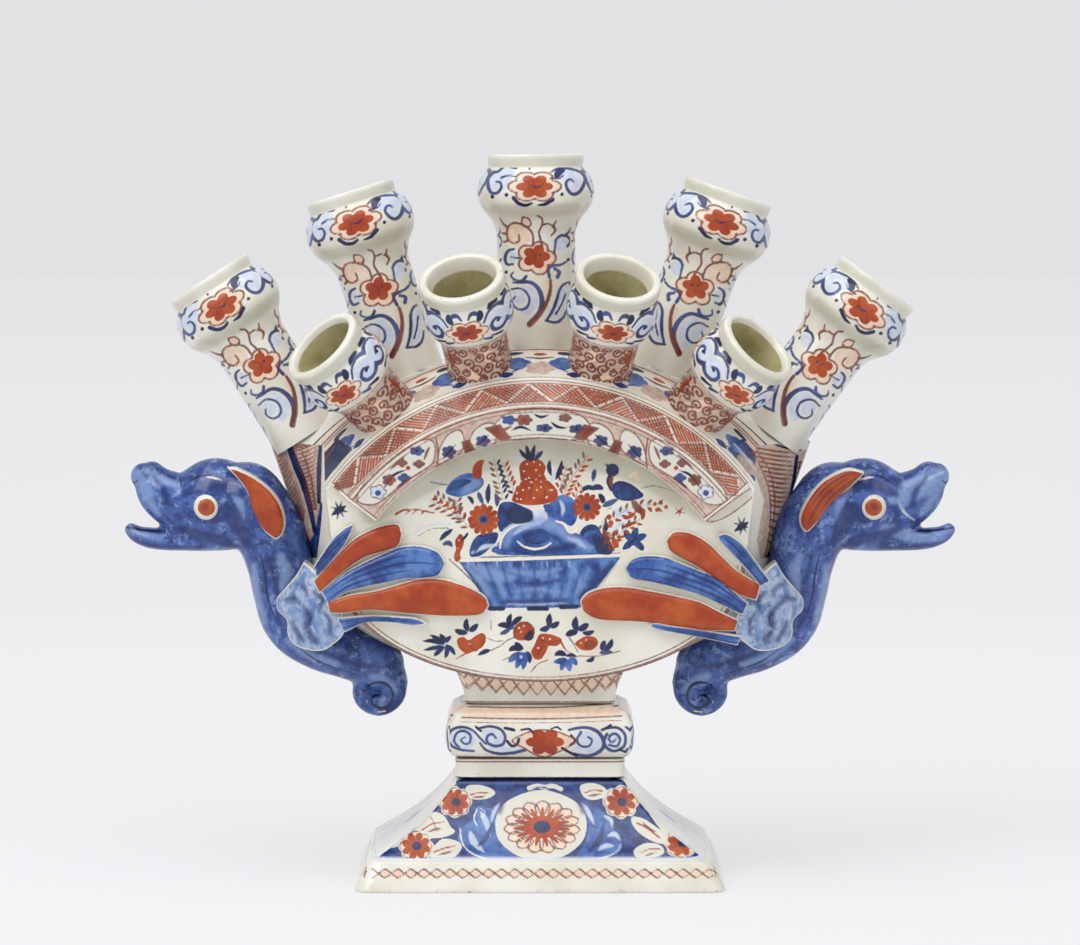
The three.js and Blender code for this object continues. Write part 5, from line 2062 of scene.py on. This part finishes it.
def plump_leaf(name, edges, base_y, height, front=-1, columns=96, rows=44):
    """A leaf of clay laid on a face, rounded at its edges. front is -1 towards the eye."""
    runs = [smooth_run(edge, 12) for edge in edges]
    shares = [np.concatenate([[0], np.cumsum(np.hypot(*np.diff(run, axis=0).T))]) for run in runs]

    def shape(s, t):
        along, side = np.where(s < 0.1, 4.6 * s * s, 1 - (1 - s) ** 1.5 * 1.1175), 2 * t - 1
        side = np.sign(side) * (1 - (1 - np.abs(side)) ** 1.5)
        upper, lower = (
            np.column_stack([np.interp(along * share[-1], share, run[:, k]) for k in (0, 1)])
            for run, share in zip(runs, shares)
        )
        flat = upper + (lower - upper) * ((side + 1) / 2)[:, None]
        swell = (1 - np.abs(side) ** 4) ** 0.4 * (1 - along**14) ** 0.45
        swell = swell * (1 - (1 - along) ** 40) ** 0.45
        return np.column_stack([flat[:, 0], base_y + front * height * swell, flat[:, 1]])

    obj = sheet_of_quads(name, columns, rows, shape)
    only(obj)
    open_mesh()
    bpy.ops.mesh.remove_doubles(threshold=0.02 * MM)
    bpy.ops.mesh.select_all(action="DESELECT")
    bpy.ops.mesh.select_non_manifold()
    bpy.ops.mesh.edge_face_add()
    close_mesh()
    return turn_out(obj)


# How far a feather runs in under the wing's root
FEATHER_ROOT = 1.9


def begun_early(edge):
    """A feather's edge with its start moved back under the wing's root"""
    edge = np.asarray(edge, float)
    way = edge[0] - edge[1]
    return np.vstack([edge[0] + way / np.hypot(*way) * FEATHER_ROOT, edge])


def colour_leaf(obj, edges, layer, margin, streak):
    """Paints a leaf up to a margin from its edge, with streaks along it if they have a
    layer"""
    co = points_of(obj)
    flat = np.column_stack([co[:, 0], co[:, 2]]) / MM
    upper, lower = (smooth_run(edge, 6) for edge in edges)
    gap = outline_distance(flat, np.vstack([upper, lower[::-1]])) + margin
    add_layer(obj, layer, soft_edge(gap))
    if streak:
        art = Drawing()
        for share, start, end in ((0.28, 0.1, 0.62), (0.5, 0.2, 0.84), (0.72, 0.05, 0.66)):
            places = np.linspace(start, end, 7)
            line = [along(upper, p) * (1 - share) + along(lower, p) * share for p in places]
            art.stroke(streak, line, (0.3, 1.0, 0.9, 0.3))
        paint(obj, art, flat)


class VASE_OT_wings(bpy.types.Operator):
    """Feathers and the root of each wing"""

    bl_idname = "vase.wings"
    bl_label = "Wings"

    def execute(self, context):
        thick = sizes().feather / MM
        for name, edges in EDGES.items():
            if "feather" not in name:
                continue
            edges = [begun_early(edge_of(edge, FRONT_Y - 3)) for edge in edges]
            feather = plump_leaf(name, edges, FRONT_Y - 0.2, thick)
            blue = int(name[-1]) % 2 == 1
            colour_leaf(feather, edges, "ground" if blue else "red", 0.5, "blue" if blue else None)
            finish_piece(feather, name, slot="cobalt_glaze" if blue else "iron_red_glaze")

        ring = smooth_run(edge_of(WING_ROOT, WING_Y, WING_SLOPE), 10)
        ring = np.vstack([ring, smooth_run([ring[-1], ring[0]], 10)])
        middle = np.array([-81.0, 96.0])
        angle, reach = reach_of(ring, middle)

        def shape(s, t):
            turn, rho = rounded(2 * s - 1, 2 * t - 1)
            far = rho * np.interp(turn, angle, reach, period=2 * math.pi)
            x, z = middle[0] + np.cos(turn) * far, middle[1] + np.sin(turn) * far
            lean = -WING_SLOPE * np.minimum(x - WING_EDGE_X, 0)
            ridge = 0.5 * np.sin((x * 0.8 + z * 0.6) * 1.5) * np.cos((z * 0.8 - x * 0.6) * 1.3)
            y = WING_Y + lean + 4.5 * rho**3 + ridge * (1 - rho**4)
            return np.column_stack([x, y, z])

        root = sheet_of_quads("left_wing_root", 60, 72, shape)
        flat = points_of(root)[:, ::2] / MM
        gap = -outline_distance(flat, ring)
        add_layer(root, "reserve", soft_edge(gap - 0.45))
        paint_seen(root, Drawing(BLOTCHES), points_of(root))
        only(root)
        open_mesh("DESELECT")
        bpy.ops.mesh.select_non_manifold()
        bpy.ops.mesh.extrude_region_move(TRANSFORM_OT_translate={"value": (0, 11 * MM, 0)})
        bpy.ops.mesh.edge_face_add()
        close_mesh()
        turn_out(root)
        twin = mirror_copy(root, "right_wing_root")
        for side, obj in (("left", root), ("right", twin)):
            finish_piece(obj, f"{side}_wing_root", slot="pale_cobalt_glaze",
                         look="pale_cobalt_glaze")
        return {"FINISHED"}


class VASE_OT_faces(bpy.types.Operator):
    """Eyes and ears on both sides of the dragons' heads"""

    bl_idname = "vase.faces"
    bl_label = "Eyes and Ears"

    def execute(self, context):
        for name, front in (("front", -1), ("back", 1)):
            eye = ball(EYE[0], DRAGON_Y + front * 10.8, EYE[1], 4.9, 3.8, 4.9)
            eye.name = eye.data.name = f"left_{name}_eye"
            subdivide(eye, 1)
            art = Drawing()
            art.stroke("red", [EYE], 6.2)
            art.stroke("brown", [(EYE[0] - 0.5, EYE[1] + 0.3)], 3)
            paint(eye, art, points_of(eye)[:, ::2] / MM)
            pieces = [(eye, f"left_{name}_eye")]
            pieces.append((mirror_copy(eye, "twin"), f"right_{name}_eye"))
            for side in ("left", "right"):
                edges = [edge_of(edge, -4) for edge in EDGES[f"{side}_ear"]]
                ear = plump_leaf(f"{side}_{name}_ear", edges, DRAGON_Y + front * 8.5, 6.6,
                                 front, 60, 30)
                colour_leaf(ear, edges, "red", 0.8, "brown" if side == "right" else None)
                pieces.append((ear, f"{side}_{name}_ear"))
            for piece, node in pieces:
                piece.name = piece.data.name = node
                finish_piece(piece, node, slot="iron_red_glaze")
        return {"FINISHED"}


# Stage


class VASE_OT_stage(bpy.types.Operator):
    """Pale floor and backdrop, soft studio light and the camera"""

    bl_idname = "vase.stage"
    bl_label = "Stage"

    def execute(self, context):
        scene = context.scene
        hues = colours()
        floor = new_object("floor", bpy.ops.mesh.primitive_circle_add, vertices=96, radius=8,
                           fill_type="NGON")
        material = bpy.data.materials.new("matt studio paper")
        material.use_nodes = True
        tree = material.node_tree
        tree.nodes.clear()
        where = add(tree, "ShaderNodeTexCoord").outputs["Object"]
        far = add(tree, "ShaderNodeVectorMath", {0: where}, operation="LENGTH").outputs["Value"]
        paper = add(tree, "ShaderNodeBsdfDiffuse", {"Color": linear(hues.floor)}).outputs[0]
        near = mix(tree, ramp(tree, far, 0.3, 1.3), linear(hues.floor), linear("#EBEBEE"))
        away = mix(tree, ramp(tree, far, 1.2, 7), near, linear("#E4E4E7"))
        glow = add(tree, "ShaderNodeEmission", {"Color": away}).outputs[0]
        even = reckon(tree, "MULTIPLY_ADD", ramp(tree, far, 0.2, 0.7), 0.4, 0.6)
        share = reckon(tree, "MULTIPLY", even, self.looked_at(tree))
        add(tree, "ShaderNodeOutputMaterial",
            {0: add(tree, "ShaderNodeMixShader", {0: share, 1: paper, 2: glow}).outputs[0]})
        floor.data.materials.append(material)

        world = bpy.data.worlds.new("studio")
        scene.world = world
        world.use_nodes = True
        tree = world.node_tree
        tree.nodes.clear()
        soft = add(tree, "ShaderNodeBackground", {0: linear("#F4F6FA"), 1: 0.48}).outputs[0]
        view = add(tree, "ShaderNodeBackground", {0: linear(hues.backdrop), 1: 1.0}).outputs[0]
        share = self.looked_at(tree)
        add(tree, "ShaderNodeOutputWorld",
            {0: add(tree, "ShaderNodeMixShader", {0: share, 1: soft, 2: view}).outputs[0]})

        for name, spot, size, power in (
            ("key", (-1.1, -1.3, 1.5), 1.1, 12), ("fill", (1.3, -1.2, 1.2), 1.2, 5),
            ("top", (-0.2, -0.5, 2.0), 1.8, 20),
        ):
            bpy.ops.object.select_all(action="DESELECT")
            bpy.ops.object.light_add(type="AREA", location=spot)
            lamp = context.object
            lamp.name = name
            lamp.data.size, lamp.data.energy = size, power
            lamp.rotation_euler = (Vector((0, 0, 0.1)) - lamp.location).to_track_quat(
                "-Z", "Y").to_euler()

        bpy.ops.object.camera_add(location=(0, EYE_Y, EYE_Z), rotation=(math.pi / 2 - PITCH, 0, 0))
        camera = context.object
        camera.data.sensor_width = SENSOR
        camera.data.lens = FOCAL_PX / PICTURE[0] * SENSOR
        camera.data.clip_start, camera.data.clip_end = 0.05, 50
        scene.camera = camera
        scene.view_settings.view_transform = "Standard"
        return {"FINISHED"}

    @staticmethod
    def looked_at(tree):
        """1 where the camera or a mirror image sees the stage, 0 for the light it sends"""
        path = add(tree, "ShaderNodeLightPath").outputs
        mirrored = reckon(tree, "MAXIMUM", path["Is Glossy Ray"], path["Is Transmission Ray"])
        return reckon(tree, "MAXIMUM", path["Is Camera Ray"], mirrored)


class VASE_PT_panel(bpy.types.Panel):
    """Sizes, colours and pieces of the vase"""

    bl_idname = "VASE_PT_panel"
    bl_label = "Tulip Vase"
    bl_space_type = "VIEW_3D"
    bl_region_type = "UI"
    bl_category = "Vase"

    def draw(self, context):
        for settings in (context.scene.vase_sizes, context.scene.vase_colours):
            for name in settings.__annotations__:
                self.layout.prop(settings, name)
        for operator in OPERATORS:
            self.layout.operator(operator.bl_idname)


OPERATORS = (
    VASE_OT_stage, VASE_OT_foot, VASE_OT_body, VASE_OT_arch, VASE_OT_tall_spouts,
    VASE_OT_short_spouts, VASE_OT_dragons, VASE_OT_wings, VASE_OT_faces,
)
CLASSES = (VaseSizes, VaseColours, *OPERATORS, VASE_PT_panel)


def register():
    for cls in CLASSES:
        bpy.utils.register_class(cls)
    bpy.types.Scene.vase_sizes = bpy.props.PointerProperty(type=VaseSizes)
    bpy.types.Scene.vase_colours = bpy.props.PointerProperty(type=VaseColours)


def unregister():
    del bpy.types.Scene.vase_colours
    del bpy.types.Scene.vase_sizes
    for cls in reversed(CLASSES):
        bpy.utils.unregister_class(cls)


def main():
    register()
    bpy.ops.vase.stage()
    bpy.ops.vase.foot()
    bpy.ops.vase.body()
    bpy.ops.vase.arch()
    bpy.ops.vase.tall_spouts()
    bpy.ops.vase.short_spouts()
    bpy.ops.vase.dragons()
    bpy.ops.vase.wings()
    bpy.ops.vase.faces()


if __name__ == "__main__":
    main()
